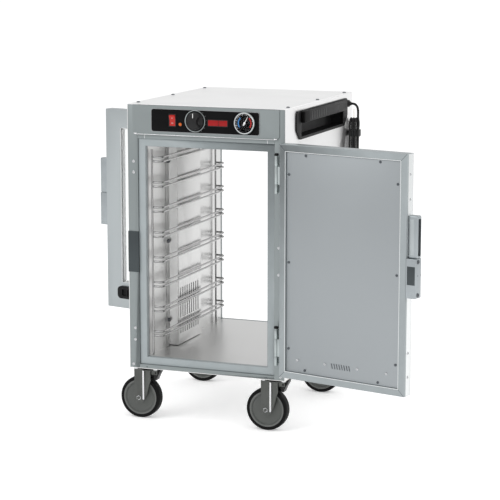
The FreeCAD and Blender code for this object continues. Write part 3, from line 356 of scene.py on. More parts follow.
def make_finishes():
    grey = (0.255, 0.281, 0.284, 1)
    return {
        "aluminium_skin": sheet_metal("aluminium_skin", (0.78, 0.78, 0.78, 1), 0.36, (9, 700, 700)),
        # A lighter copy of the aluminium skin for the top cover: painted light, the top brighter
        # where the lamps fall on it.
        "top_skin_painted_light": sheet_metal(
            "top_skin_painted_light", (0.92, 0.92, 0.92, 1), 0.34, (9, 700, 700), slot="aluminium_skin"
        ),
        "anodised_frame": sheet_metal("anodised_frame", grey, 0.42, spread=0.035),
        "breaker_grey": moulded("breaker_grey", (0.3, 0.335, 0.345, 1), 0.32),
        "stainless": sheet_metal("stainless", (0.66, 0.66, 0.655, 1), 0.34, (500, 6, 500), 0.04),
        "wire": sheet_metal("wire", (0.36, 0.36, 0.36, 1), 0.2, (60, 60, 60), slot="stainless"),
        "foam": foam(),
        "panel_black": gloss_panel(),
        "knob_black": moulded(
            "knob_black", (0.009, 0.009, 0.0095, 1), 0.36, depth=0.08, Specular_IOR_Level=0.25
        ),
        # Bright silver for the needle boss and the brake rods; also paints highlights on the header
        # seams and the ledge's lip.
        "bezel_silver": sheet_metal("bezel_silver", (0.72, 0.72, 0.73, 1), 0.2, (300, 300, 300)),
        "red_lens": lit_lens("red_lens", (0.31, 0.004, 0.005, 1), 0.0),
        "rocker_red": moulded(
            "rocker_red", (0.4, 0.017, 0.012, 1), 0.35, slot="red_lens", Specular_IOR_Level=0.3
        ),
        "amber_lens": lit_lens("amber_lens", (0.62, 0.13, 0.02, 1), 0.0),
        "white_print": printed("white_print", (0.8, 0.8, 0.8, 1)),
        "spacer_white": printed("spacer_white", (0.9, 0.9, 0.9, 1), "window_glass"),
        "grey_print": printed("grey_print", (0.36, 0.37, 0.38, 1)),
        "blue_print": printed("blue_print", (0.035, 0.24, 0.62, 1)),
        "red_print": printed("red_print", (0.6, 0.015, 0.01, 1)),
        "motor_grey": cast_metal("motor_grey", (0.25, 0.26, 0.27, 1), 0.5),
        "moulded_black": moulded(
            "moulded_black", (0.008, 0.008, 0.0085, 1), 0.5, Specular_IOR_Level=0.14
        ),
        "cap_black": moulded(
            "cap_black",
            (0.003, 0.003, 0.003, 1),
            0.6,
            slot="moulded_black",
            Specular_IOR_Level=0.08,
        ),
        "strike_grey": sheet_metal("strike_grey", (0.066, 0.076, 0.08, 1), 0.4),
        "cast_grey": cast_metal("cast_grey", (0.34, 0.37, 0.385, 1), 0.36),
        "hinge_steel": sheet_metal("hinge_steel", (0.4, 0.44, 0.44, 1), 0.32),
        "screw_steel": sheet_metal("screw_steel", (0.55, 0.56, 0.57, 1), 0.25, (200, 200, 200)),
        # Dark steel for the dark screws and the seal's mitre lines; also used as painted shade, for
        # the inner panel's shadow ring and the inlet slots.
        "dark_screw_and_shade": sheet_metal(
            "dark_screw_and_shade", (0.12, 0.13, 0.14, 1), 0.35, (200, 200, 200), slot="screw_steel"
        ),
        "gasket_grey": moulded(
            "gasket_grey", (0.3, 0.33, 0.34, 1), 0.42, 1500, Specular_IOR_Level=0.3
        ),
        "door_sheet": sheet_metal("door_sheet", (0.327, 0.348, 0.361, 1), 0.45, spread=0.03),
        # A pale copy of the door sheet: the window beads' colour, also used to paint highlights on
        # the doors' free edges and the inner panel's lip.
        "door_pale_and_highlight": sheet_metal(
            "door_pale_and_highlight", (0.74, 0.76, 0.76, 1), 0.4, spread=0.03, slot="door_sheet"
        ),
        "door_grey": sheet_metal(
            "door_grey", (0.4, 0.43, 0.44, 1), 0.42, spread=0.03, slot="door_sheet"
        ),
        "window_glass": clear_glass("window_glass", "window_glass"),
        "dial_glass": clear_glass("dial_glass", "window_glass"),
        "fork_grey": cast_metal("fork_grey", (0.098, 0.102, 0.097, 1), 0.38),
        "plate_zinc": cast_metal("plate_zinc", (0.72, 0.7, 0.67, 1), 0.28),
        "wheel_black": moulded(
            "wheel_black", (0.003, 0.003, 0.0032, 1), 0.55, 1400, 0.25, Specular_IOR_Level=0.12
        ),
        "hub_grey": moulded("hub_grey", (0.07, 0.075, 0.07, 1), 0.42, slot="wheel_black"),
        "hub_rim": moulded("hub_rim", (0.11, 0.115, 0.11, 1), 0.4, slot="wheel_black"),
        "cord_black": moulded(
            "cord_black", (0.006, 0.006, 0.0065, 1), 0.46, 1800, Specular_IOR_Level=0.3
        ),
        "tag_card": printed("tag_card", (0.76, 0.7, 0.6, 1), "white_print"),
    }


# ---------------------------------------------------------------- makers

FACING = {
    "up": Matrix.Identity(4),
    "down": Matrix.Rotation(math.pi, 4, "X"),
    "front": Matrix.Rotation(math.pi / 2, 4, "X"),
    "rear": Matrix.Rotation(-math.pi / 2, 4, "X"),
    "right": Matrix.Rotation(math.pi / 2, 4, "Y"),
    "left": Matrix.Rotation(-math.pi / 2, 4, "Y"),
}
ON_DOOR = {
    None: Matrix.Identity(4),
    "front": Matrix.Translation((HINGE_X * MM, -HINGE_Y * MM, 0))
    @ Matrix.Rotation(math.radians(DOOR_OPEN), 4, "Z"),
    "rear": Matrix.Translation((-HINGE_X * MM, HINGE_Y * MM, 0))
    @ Matrix.Rotation(math.radians(DOOR_OPEN + 180), 4, "Z"),
}


def only(*pieces):
    bpy.ops.object.select_all(action="DESELECT")
    for piece in pieces:
        piece.select_set(True)
    bpy.context.view_layer.objects.active = pieces[0]


def settle(piece, matrix):
    """Moves the piece and puts its place in its mesh."""
    only(piece)
    piece.matrix_world = matrix @ piece.matrix_world
    bpy.ops.object.transform_apply(location=True, rotation=True, scale=True)
    return piece


def at(x, y, z, face="up", door=None):
    return ON_DOOR[door] @ Matrix.Translation(Vector((x, y, z)) * MM) @ FACING[face]


def block(x0, x1, y0, y1, z0, z1, ease=0.4, steps=2):
    """A bar between those limits with its arrises rounded."""
    bpy.ops.object.select_all(action="DESELECT")
    middle = Vector(((x0 + x1) / 2, (y0 + y1) / 2, (z0 + z1) / 2)) * MM
    bpy.ops.mesh.primitive_cube_add(size=1, location=middle)
    piece = bpy.context.object
    piece.scale = Vector((x1 - x0, y1 - y0, z1 - z0)) * MM
    bpy.ops.object.transform_apply(location=True, rotation=True, scale=True)
    bpy.ops.object.mode_set(mode="EDIT")
    bpy.ops.mesh.select_all(action="SELECT")
    bpy.ops.mesh.bevel(offset=ease * MM, segments=steps, affect="EDGES", clamp_overlap=True)
    bpy.ops.object.mode_set(mode="OBJECT")
    return piece


def lathe(profile, steps=48, capped=True):
    """A round shape about Z: rings of (radius, height), each extruded and scaled from the last."""
    bpy.ops.object.select_all(action="DESELECT")
    radius, height = profile[0]
    bpy.ops.mesh.primitive_circle_add(
        vertices=steps,
        radius=radius * MM,
        fill_type="TRIFAN" if capped else "NOTHING",
        location=(0, 0, height * MM),
    )
    piece = bpy.context.object
    bpy.ops.object.transform_apply(location=True, rotation=True, scale=True)
    bpy.ops.object.mode_set(mode="EDIT")
    bpy.ops.mesh.select_all(action="SELECT")
    for wider, higher in profile[1:]:
        lift = {"value": (0, 0, (higher - height) * MM)}
        bpy.ops.mesh.extrude_region_move(TRANSFORM_OT_translate=lift)
        grow = wider / radius
        bpy.ops.transform.resize(value=(grow, grow, 1), center_override=(0, 0, higher * MM))
        radius, height = wider, higher
    close_up()
    return piece


def close_up():
    """Welds what meets, turns the faces outwards and leaves edit mode."""
    bpy.ops.mesh.select_all(action="SELECT")
    bpy.ops.mesh.remove_doubles(threshold=2e-6)
    bpy.ops.mesh.normals_make_consistent(inside=False)
    bpy.ops.object.mode_set(mode="OBJECT")


def modify(piece, kind, **settings):
    only(piece)
    modifier = piece.modifiers.new(kind.lower(), kind)
    for key, value in settings.items():
        setattr(modifier, key, value)
    bpy.ops.object.modifier_apply(modifier=modifier.name)
    return piece


def cut_away(piece, cutter):
    modify(piece, "BOOLEAN", operation="DIFFERENCE", object=cutter, solver="EXACT")
    bpy.data.objects.remove(cutter)


def loop_plate(x0, x1, y0, y1, corner, wide, tall, ease=0.0):
    """A flat ring: a rounded plane, inset, opened in the middle and thickened upwards."""
    bpy.ops.object.select_all(action="DESELECT")
    middle = Vector(((x0 + x1) / 2, (y0 + y1) / 2, 0)) * MM
    bpy.ops.mesh.primitive_plane_add(size=1, location=middle)
    piece = bpy.context.object
    piece.scale = ((x1 - x0) * MM, (y1 - y0) * MM, 1)
    bpy.ops.object.transform_apply(location=True, rotation=True, scale=True)
    bpy.ops.object.mode_set(mode="EDIT")
    bpy.ops.mesh.select_all(action="SELECT")
    bpy.ops.mesh.bevel(offset=corner * MM, segments=8, affect="VERTICES")
    bpy.ops.mesh.select_all(action="SELECT")
    bpy.ops.mesh.inset(thickness=wide * MM)
    bpy.ops.mesh.delete(type="FACE")
    bpy.ops.mesh.select_all(action="SELECT")
    bpy.ops.mesh.extrude_region_move(TRANSFORM_OT_translate={"value": (0, 0, tall * MM)})
    close_up()
    if ease:
        modify(piece, "BEVEL", width=ease * MM, segments=2, limit_method="ANGLE")
    return piece


def join(pieces):
    only(*pieces)
    if len(pieces) > 1:
        bpy.ops.object.join()
    return bpy.context.object


def scattered(model, places):
    """A copy of the model, with its own mesh, at each place; all joined."""
    copies = []
    for place in places:
        copy = bpy.data.objects.new("copy", model.data.copy())
        bpy.context.scene.collection.objects.link(copy)
        copies.append(settle(copy, place))
    bpy.data.objects.remove(model)
    return join(copies)


def finished(piece, name, finish, body="cabinet", replaced=(), smooth=35):
    """Names a piece, gives it its finish and hangs it on its body."""
    piece.name = name
    piece.data.materials.clear()
    piece.data.materials.append(finishes[finish].material)
    if piece.type == "MESH":
        only(piece)
        bpy.ops.object.shade_smooth_by_angle(angle=math.radians(smooth))
    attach(piece, body)
    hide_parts(*replaced)
    return piece


def eased(node, width, finish=None, steps=2):
    """A copy of a CAD part with its arrises rounded, shown in its place."""
    source = nodes[node]
    mesh = source.data.copy()
    piece = bpy.data.objects.new(f"{node}_eased", mesh)
    bpy.context.scene.collection.objects.link(piece)
    only(piece)
    bpy.ops.object.mode_set(mode="EDIT")
    bpy.ops.mesh.select_all(action="SELECT")
    bpy.ops.mesh.remove_doubles(threshold=1e-6)
    bpy.ops.mesh.dissolve_limited(angle_limit=math.radians(0.5))
    bpy.ops.object.mode_set(mode="OBJECT")
    modify(
        piece,
        "BEVEL",
        width=width * MM,
        segments=steps,
        limit_method="ANGLE",
        angle_limit=math.radians(EASED_ANGLE),
        harden_normals=False,
    )
    return finished(piece, f"{node}_eased", finish or slots[node], source["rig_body"], [node], 30)


def screw_head(radius, height):
    """A pan head with a cross recess, standing on Z = 0."""
    rings = [(radius, 0), (radius, height * 0.35)]
    rings += [(radius * r, height * h) for r, h in ((0.9, 0.75), (0.62, 0.96), (0.2, 1.0))]
    head = lathe(rings, 24)
    arm = radius * 0.62
    slot = radius * 0.13
    low, high = height * 0.35, height * 2
    for half_x, half_y in ((arm, slot), (slot, arm)):
        cut_away(head, block(-half_x, half_x, -half_y, half_y, low, high, 0.05, 1))
    return head


# ---------------------------------------------------------------- cabinet


def dress_cad():
    """Gives every CAD part the finish of its slot; the racks are of drawn wire."""
    for name, node in nodes.items():
        for index, old in enumerate(node.data.materials):
            slots[name] = old.name.split(".")[0]
            chosen = "wire" if name.startswith("slide_rack") else slots[name]
            node.data.materials[index] = finishes[chosen].material


def cabinet_skins():
    for side in ("left", "right"):
        eased(f"side_panel_{side}", 0.4)
        eased(f"side_handle_{side}", 1.6, steps=3)
    # The top cover takes the lighter copy of the skin: painted light on the top.
    eased("top_cover", 0.5, "top_skin_painted_light")
    eased("base_panel", 0.4)
    for end in ("front", "rear"):
        eased(f"{end}_frame", 0.6)
    eased("breaker_strips", 1.1, steps=3)
    eased("control_fascia", 0.7)
    eased("air_duct", 0.5)
    eased("strike_plates", 0.5)


def frame_screws():
    places = []
    for height in (12.6, 91.7, 128.6, 618.4, 652.5):
        in_sill = height < 50
        across = SILL_SCREW_X if in_sill else POST_SCREW_X
        for x in (-across, across) if in_sill else (-across,):
            places.append(at(x, -HALF_DEEP, BODY_LOW + height, "front"))
            places.append(at(-x, HALF_DEEP, BODY_LOW + height, "rear"))
    screws = scattered(screw_head(4.9, 2.3), places)
    finished(screws, "frame_screws", "screw_steel")
    thumbs = [at(-198, -153, BODY_LOW + z, "right") for z in (123.9, 379.6, 634.8)]
    knurl = lathe([(5.2, 0), (6, 0.6), (6, 5.6), (5, 6.6), (2.6, 6.6), (2.4, 5.6), (0.3, 5.5)], 20)
    finished(scattered(knurl, thumbs), "duct_thumb_screws", "dark_screw_and_shade")
    tops = [at(246 * s, y, BODY_TOP, "up") for s in (-1, 1) for y in (-263, 7, 274)]
    caps = finished(scattered(screw_head(5.6, 3), tops), "top_screws", "dark_screw_and_shade")
    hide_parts("cabinet_screws")
    plates = []
    for height in (328.5, 411.5):
        plates.append(at(240, -HALF_DEEP - 3, BODY_LOW + height, "front"))
        plates.append(at(-240, HALF_DEEP + 3, BODY_LOW + height, "rear"))
    finished(scattered(screw_head(5, 2), plates), "strike_screws", "screw_steel")


def duct_louvres():
    """The pressed vanes behind the duct's outlet slots."""
    vanes = []
    for centre in (68, 120, 174):
        for step in range(9):
            y = -122 + 18 * step
            low = BODY_LOW + centre + 6.4
            vane = block(-173.4, -172.4, y + 0.4, y + 5.6, low, low + 43.2, 0.2, 1)
            vanes.append(vane)
    finished(join(vanes), "duct_vanes", "wire")


def header_trim():
    """The header strip's seams and the drip ledge's lip with turned-up ends, bright silver as
    painted highlights on them, and the sill rivets.
    """
    # Seams and lip in bright silver: painted highlights along the header strip's joints and the
    # ledge's edge.
    seams = [block(x - 0.6, x + 0.6, -319.5, -318.5, 898, 911, 0.25, 2) for x in (-201, 201)]
    lip = block(-229, 229, -326.4, -325, 911, 912.6, 0.5, 2)
    ends = [block(s * 229 - 5, s * 229 + 5, -326.4, -321, 912, 915, 0.8, 3) for s in (-1, 1)]
    finished(join([lip, *seams, *ends]), "ledge_lip_and_seam_highlights", "bezel_silver")
    dimples = [at(x, -HALF_DEEP, BODY_LOW + 6, "front") for x in (-200, 200)]
    dome = lathe([(2.4, 0), (2.2, 0.35), (1.4, 0.6), (0.2, 0.65)], 16)
    finished(scattered(dome, dimples), "sill_rivets", "dark_screw_and_shade")


# ---------------------------------------------------------------- control panel


def control_panel():
    eased("control_overlay", 0.25)
    border = loop_plate(-176.9, 176.9, -35.1, 35.1, 8, 0.9, 0.45, 0.1)
    settle(border, at(0, PANEL_Y + 0.2, 956.25, "front"))
    finished(border, "panel_border", "grey_print")
    eased("rocker_housing", 0.5)
    eased("rocker_switch", 0.4, "rocker_red", 3)
    tilt = at(ROCKER_X, PANEL_Y + 1.5, CONTROL_Z) @ Matrix.Rotation(math.radians(9), 4, "X")
    lean = math.atan2(3.5, 18)
    marks = []
    for sign in (1, -1):
        spot = Matrix.Translation(Vector((0, -4.78, 9 * sign)) * MM)
        spot = tilt @ spot @ Matrix.Rotation(-lean * sign, 4, "X") @ FACING["front"]
        if sign > 0:
            mark = block(-0.5, 0.5, -2.6, 2.6, -0.1, 0.16, 0.08, 1)
        else:
            ring = [(2.7, -0.1), (2.7, 0.16), (1.9, 0.16), (1.9, -0.1), (2.7, -0.1)]
            mark = lathe(ring, 32, capped=False)
        marks.append(settle(mark, spot))
    finished(join(marks), "rocker_marks", "white_print", "power_rocker")

    lamp = lathe([(5.2, 0), (5.2, 1.2), (4.6, 2.6), (3.2, 3.6), (1.2, 4.1), (0.2, 4.15)], 32)
    settle(lamp, at(LAMP[0], PANEL_Y, LAMP[1], "front"))
    finished(lamp, "lamp_lens", "amber_lens", replaced=["indicator_lamp"])
    collar = lathe([(6.6, 0), (6.6, 1.1), (5.9, 1.7), (5.1, 1.5), (5.1, 0), (6.6, 0)], 32, False)
    settle(collar, at(LAMP[0], PANEL_Y, LAMP[1], "front"))
    finished(collar, "lamp_collar", "knob_black")

    thermostat()
    display()
    thermometer()


KNOB = [(27.6, 0.6), (28, 1.2), (28, 3), (26.5, 4), (25, 17), (24, 18.4), (22.6, 19), (0.4, 19)]
KNOB_RING = [
    (30.2, 0),
    (33.4, 0),
    (33.4, 1.2),
    (32.9, 2.0),
    (31.9, 2.2),
    (30.9, 1.8),
    (30.2, 1.0),
    (30.2, 0),
]
GAUGE_RING = [
    (30.6, 2),
    (33.4, 0),
    (33.6, 4.6),
    (33.2, 6.6),
    (32.4, 7.6),
    (31.5, 7.4),
    (30.6, 6.4),
    (30.6, 2),
]


def thermostat():
    """A round knob scooped away on both sides to leave an upright grip, in a plated ring."""
    place = at(KNOB_X, PANEL_Y, CONTROL_Z, "front")
    bezel = settle(lathe(KNOB_RING, 96, False), place)
    finished(bezel, "knob_ring", "hinge_steel", replaced=["knob_bezel"])
    knob = lathe(KNOB, 96)
    for side in (-1, 1):
        scoop = lathe([(13, 7), (15, 9.5), (16.5, 14), (17.5, 24)], 64)
        cut_away(knob, settle(scoop, at(28 * side, 0, 0)))
    modify(knob, "BEVEL", width=0.5 * MM, segments=2, limit_method="ANGLE")
    settle(knob, place)
    finished(knob, "grip_knob", "knob_black", "heat_knob", ["thermostat_knob"])
    pointer = settle(block(-0.9, 0.9, 11, 24.6, 18.6, 19.4, 0.25, 2), place)
    finished(pointer, "knob_pointer", "white_print", "heat_knob")
    ticks = []
    for step in range(1, 11):
        turn = Matrix.Rotation(math.radians(36 - 20 * step), 4, "Z")
        size = 2.6 if step % 5 == 0 else 1.7
        mark = block(-0.4, 0.4, 35, 35 + size, 0, 0.2, 0.08, 1)
        ticks.append(settle(mark, place @ turn))
    finished(join(ticks), "knob_scale", "grey_print")


def display():
    x, z = LENS
    surround = loop_plate(x - 33.6, x + 33.6, -11, 11, 3.5, 2.4, 1.9, 0.4)
    settle(surround, at(0, PANEL_Y, z, "front"))
    finished(surround, "display_surround", "knob_black")
    halves = []
    for low, high in ((-31.4, 1.9), (2.7, 31.4)):
        halves.append(block(x + low, x + high, PANEL_Y - 1.5, PANEL_Y, z - 8.7, z + 8.7, 0.7, 3))
    finished(join(halves), "display_lenses", "red_lens", replaced=["display_lens"])
    bar = block(x + 1.9, x + 2.7, PANEL_Y - 1.6, PANEL_Y, z - 8.9, z + 8.9, 0.3, 2)
    finished(bar, "display_divider", "knob_black")


def thermometer():
    place = at(GAUGE_X, PANEL_Y, CONTROL_Z, "front")
    finished(settle(lathe(GAUGE_RING, 96, False), place), "gauge_bezel", "hinge_steel")
    dial = lathe([(30.5, 2.05), (30.5, 2.25), (0.4, 2.25)], 96)
    finished(settle(dial, place), "gauge_dial", "panel_black")
    glass = lathe([(30.5, 6.2), (30.5, 6.7), (20, 7.1), (10, 7.35), (0.4, 7.4)], 64)
    finished(settle(glass, place), "gauge_glass", "dial_glass")
    eased("thermometer_needle", 0.12, "white_print")
    marks = {"white_print": [], "blue_print": [], "red_print": []}
    for step in range(28):
        degrees = 135 - 10 * step
        turn = Matrix.Rotation(math.radians(degrees), 4, "Z")
        if abs(degrees) > 128:
            continue
        wide, long = (0.65, 5) if step % 3 == 0 else (0.45, 3.4)
        mark = block(-wide, wide, 29.4 - long, 29.4, 2.2, 2.45, 0.08, 1)
        marks["white_print"].append(settle(mark, place @ turn))
    for finish, first, last in (("blue_print", 126, 42), ("red_print", -44, -126)):
        for step in range(23):
            degrees = first + (last - first) * step / 22
            turn = Matrix.Rotation(math.radians(degrees), 4, "Z")
            mark = block(-0.85, 0.85, 18.6, 22.2, 2.2, 2.42, 0.05, 1)
            marks[finish].append(settle(mark, place @ turn))
    for finish, pieces in marks.items():
        finished(join(pieces), f"dial_{finish}", finish)
    boss = lathe([(3.6, 3.4), (3.6, 4.6), (2.6, 5.3), (0.3, 5.5)], 24)
    finished(settle(boss, place), "needle_boss", "bezel_silver", "gauge_needle")


# ---------------------------------------------------------------- side handles


def handle_details():
    """The end caps and the grooves across each side handle's grip bar."""
    for side, sign in (("left", -1), ("right", 1)):
        grooves = []
        x0, x1 = sorted((sign * (HALF_WIDE + 13), sign * (HALF_WIDE + 16.15)))
        for y in [-122 + 22 * i for i in range(7)] + [133 + 19 * i for i in range(3)]:
            grooves.append(block(x0, x1, y - 2.6, y + 2.6, 957, 979, 0.8, 2))
        finished(join(grooves), f"handle_grooves_{side}", "knob_black")
        x0, x1 = sorted((sign * (HALF_WIDE + 1), sign * (HALF_WIDE + 16.8)))
        cap = block(x0, x1, -193, -142, 950.5, 986, 4.5, 5)
        finished(cap, f"handle_cap_{side}", "cap_black")


# ---------------------------------------------------------------- doors


def on_door(side, s, y, z, face):
    """A place on a door: from its hinge edge, its depth, and from its bottom edge."""
    return at(DOOR_EDGE - s, y, DOOR_LOW + z, face, side)


DOOR_SCREWS = [
    (90.3, 678.6),
    (343.7, 678.9),
    (31, 619.3),
    (402.4, 619.1),
    (31.4, 355.4),
    (402.6, 354.6),
    (31.3, 92.2),
    (402.2, 91),
    (90, 31.8),
    (343.6, 30.7),
]


def doors():
    for side in ("front", "rear"):
        body = f"{side}_door"
        eased(f"{side}_door_gasket", 1.5, steps=3)
        latch(side)
        eased(f"{side}_vent_cover", 0.9)
        eased(f"{side}_door_leaves", 0.5)
        eased(f"{side}_door_skin", 0.9, "door_grey", steps=3)
        y0, y1 = DOOR_OUTER + 1, DOOR_INNER - 9
        z0, z1 = DOOR_LOW + 1, DOOR_LOW + DOOR_TALL - 1
        # A pale strip over each door's free edge: a painted highlight along that edge.
        strip = block(DOOR_FREE - 0.3, DOOR_FREE + 1, y0, y1, z0, z1, 0.2)
        finished(settle(strip, ON_DOOR[side]), f"{side}_edge_highlight_strip", "door_pale_and_highlight", body)
        edge = DOOR_FREE - LATCH_WIDE
        rounds = [at(edge, 2, DOOR_LOW + z, "left", side) for z in (302, 399)]
        button = screw_head(6.5, 2.6)
        finished(scattered(button, rounds), f"{side}_latch_screws", "dark_screw_and_shade", body)
        pips = [at(edge, y, DOOR_LOW + 359, "left", side) for y in (3, -14)]
        pip = lathe([(1.8, -0.2), (1.8, 0.25), (1.2, 0.3), (1.0, 0.1), (0.2, 0.1)], 16)
        finished(scattered(pip, pips), f"{side}_latch_pips", "dark_screw_and_shade", body)
        plugs = [at(DOOR_FREE, -2, DOOR_LOW + z, "left", side) for z in (56, 127, 576.1, 647.6)]
        plug = screw_head(4.6, 1.8)
        finished(scattered(plug, plugs), f"{side}_edge_plugs", "screw_steel", body)
    eased("front_door_panel", 0.4)
    spots = [on_door("front", s, DOOR_PANEL, z, "rear") for s, z in DOOR_SCREWS]
    finished(scattered(screw_head(4.2, 1.9), spots), "door_screws", "dark_screw_and_shade", "front_door")
    spots = [on_door("front", s, DOOR_PANEL, 61, "rear") for s in (63.7, 160.8, 273.6, 371.9)]
    finished(scattered(screw_head(4, 1.8), spots), "door_low_screws", "screw_steel", "front_door")
    panel_bead()
    inner_vents()
    rear_window()


def latch(side):
    """A magnet block, and above it a finger grip that is hollow from the free edge."""
    body = f"{side}_door"
    x0, x1 = DOOR_FREE - LATCH_WIDE, DOOR_FREE
    back = DOOR_INNER - 33
    base = block(x0, x1, back, DOOR_INNER, DOOR_LOW + 293, DOOR_LOW + 408, 1.2, 3)
    grip = block(x0, x1 - 0.2, back, 8, DOOR_LOW + 407.8, DOOR_LOW + 532, 4.5, 5)
    hollow = block(x0 - 9, x1 - 6, back + 4, 3, DOOR_LOW + 415, DOOR_LOW + 523, 2.5, 3)
    cut_away(grip, hollow)
    cast = settle(join([base, grip]), ON_DOOR[side])
    finished(cast, f"{side}_latch_cast", "cast_grey", body, [f"{side}_door_latch"])
    low, high = DOOR_LOW + 332, DOOR_LOW + 386
    magnet = block(x0 + 2, x1 - 4, DOOR_INNER - 1, DOOR_INNER + 0.2, low, high, 0.3, 2)
    finished(settle(magnet, ON_DOOR[side]), f"{side}_latch_magnet", "strike_grey", body)
    inlay = block(x0 + 11, x1 - 4, 7, 8.3, DOOR_LOW + 417, DOOR_LOW + 521, 0.5, 2)
    finished(settle(inlay, ON_DOOR[side]), f"{side}_latch_inlay", "door_grey", body)


def panel_bead():
    """Painted shade and light round the inner panel: a dark shadow ring and a pale highlight lip;
    and the mitres of the seal.
    """
    x0, x1 = DOOR_FREE + SEAL, DOOR_EDGE - SEAL
    z0, z1 = DOOR_LOW + SEAL, DOOR_LOW + DOOR_TALL - SEAL
    for name, inset, wide, tall, finish in (
        ("panel_shadow", 0.2, 1.3, 0.2, "dark_screw_and_shade"),
        # Painted highlight: a pale lip just proud of the seal's inner edge.
        ("panel_lip", -1.6, 1.5, 4.3, "door_pale_and_highlight"),
    ):
        ring = loop_plate(x0 + inset, x1 - inset, z0 + inset, z1 - inset, 1.5, wide, tall)
        settle(ring, at(0, DOOR_PANEL + tall, 0, "front", "front"))
        finished(ring, name, finish, "front_door")
    joints = []
    for x, z, turn in ((x0, z0, 45), (x1, z0, -45), (x1, z1, 45), (x0, z1, -45)):
        line = block(-SEAL * 0.68, SEAL * 0.68, -0.6, 0.6, -0.2, 0.15, 0.1, 1)
        settle(line, Matrix.Rotation(math.radians(turn), 4, "Z"))
        half = SEAL / 2
        middle = (x - half if x == x0 else x + half, z - half if z == z0 else z + half)
        joints.append(settle(line, at(middle[0], DOOR_INNER, middle[1], "front", "front")))
    finished(join(joints), "seal_mitres", "dark_screw_and_shade", "front_door")


def inner_vents():
    """The slanted louvres of the air inlet on the inner face of the front door, with a dark plate
    in each slot as painted shade.
    """
    hoods = []
    slot_shades = []
    for index in range(8):
        s = 186 + 8.6 * index
        place = on_door("front", s, DOOR_PANEL, 58.5, "rear")
        tilt = Matrix.Rotation(math.radians(14), 4, "Z")
        # A dark plate in each slot: painted shade.
        slot_shade = block(-1.5, 1.5, -8, 8, -0.3, 0.22, 0.1, 1)
        slot_shades.append(settle(slot_shade, place @ tilt))
        hood = block(1.0, 3.4, -8.4, 8.4, -0.2, 1.3, 0.5, 2)
        hoods.append(settle(hood, place @ tilt))
    finished(join(slot_shades), "inlet_slot_shade", "dark_screw_and_shade", "front_door")
    finished(join(hoods), "inlet_hoods", "door_sheet", "front_door")


def rear_window():
    """Two panes, with a white spacer between them, and the beads that hold them."""
    low, high = DOOR_LOW + WINDOW_LOW, DOOR_LOW + WINDOW_HIGH
    x0, x1 = DOOR_FREE + WINDOW_MARGIN, DOOR_EDGE - WINDOW_MARGIN
    panes = []
    for y in (DOOR_OUTER + 5, DOOR_OUTER + 21):
        pane = block(x0 + 0.2, x1 - 0.2, y, y + 4, low + 0.2, high - 0.2, 0.3, 2)
        panes.append(settle(pane, ON_DOOR["rear"]))
    finished(join(panes), "window_panes", "window_glass", "rear_door", ["rear_door_window"])
    spacer = loop_plate(x0 + 0.3, x1 - 0.3, low + 0.3, high - 0.3, 3, 5, 11.4, 0.3)
    settle(spacer, at(0, DOOR_OUTER + 20.6, 0, "front", "rear"))
    finished(spacer, "window_spacer", "spacer_white", "rear_door")
    beads = []
    for y, tall in ((DOOR_OUTER + 4.4, 5), (10.1, 9)):
        bead = loop_plate(x0 - 0.5, x1 + 0.5, low - 0.5, high + 0.5, 7, 1.6, tall, 0.3)
        beads.append(settle(bead, at(0, y, 0, "front", "rear")))
    finished(join(beads), "window_beads", "door_pale_and_highlight", "rear_door")


def hinges():
    eased("hinge_frame_leaves", 0.5)
    caps = []
    for x, y in ((HINGE_X, -HINGE_Y), (-HINGE_X, HINGE_Y)):
        for top in HINGE_TOPS:
            caps.append(at(x, y, top - 1.5))
    cap = lathe([(6.6, 0), (6.9, 1), (6.9, 5), (5.6, 7), (2.6, 7.8), (0.3, 7.9)], 32)
    finished(scattered(cap, caps), "hinge_caps", "moulded_black")


# ---------------------------------------------------------------- casters

CORNERS = {
    "front_left": (-1, -1),
    "front_right": (1, -1),
    "rear_left": (-1, 1),
    "rear_right": (1, 1),
}
TYRE = [
    (56, -14),
    (58.5, -15.6),
    (63, -16),
    (65.1, -15.2),
    (66.3, -12.6),
    (66.9, -8),
    (67, 0),
    (66.9, 8),
    (66.3, 12.6),
    (65.1, 15.2),
    (63, 16),
    (58.5, 15.6),
    (56, 14),
    (56, -14),
]
HUB = [
    (5.1, -17),
    (13, -17),
    (15, -15.6),
    (16, -11.4),
    (19, -10.6),
    (43, -10.2),
    (47, -11),
    (49, -13.4),
    (54.6, -13.8),
    (56, -12.8),
    (56, 12.8),
    (54.6, 13.8),
    (49, 13.4),
    (47, 11),
    (43, 10.2),
    (19, 10.6),
    (16, 11.4),
    (15, 15.6),
    (13, 17),
    (5.1, 17),
    (5.1, -17),
]
HUB_RIM = [(51.5, 12.6), (55.8, 12.6), (55.8, 14.6), (53.6, 15), (51.5, 14.2), (51.5, 12.6)]


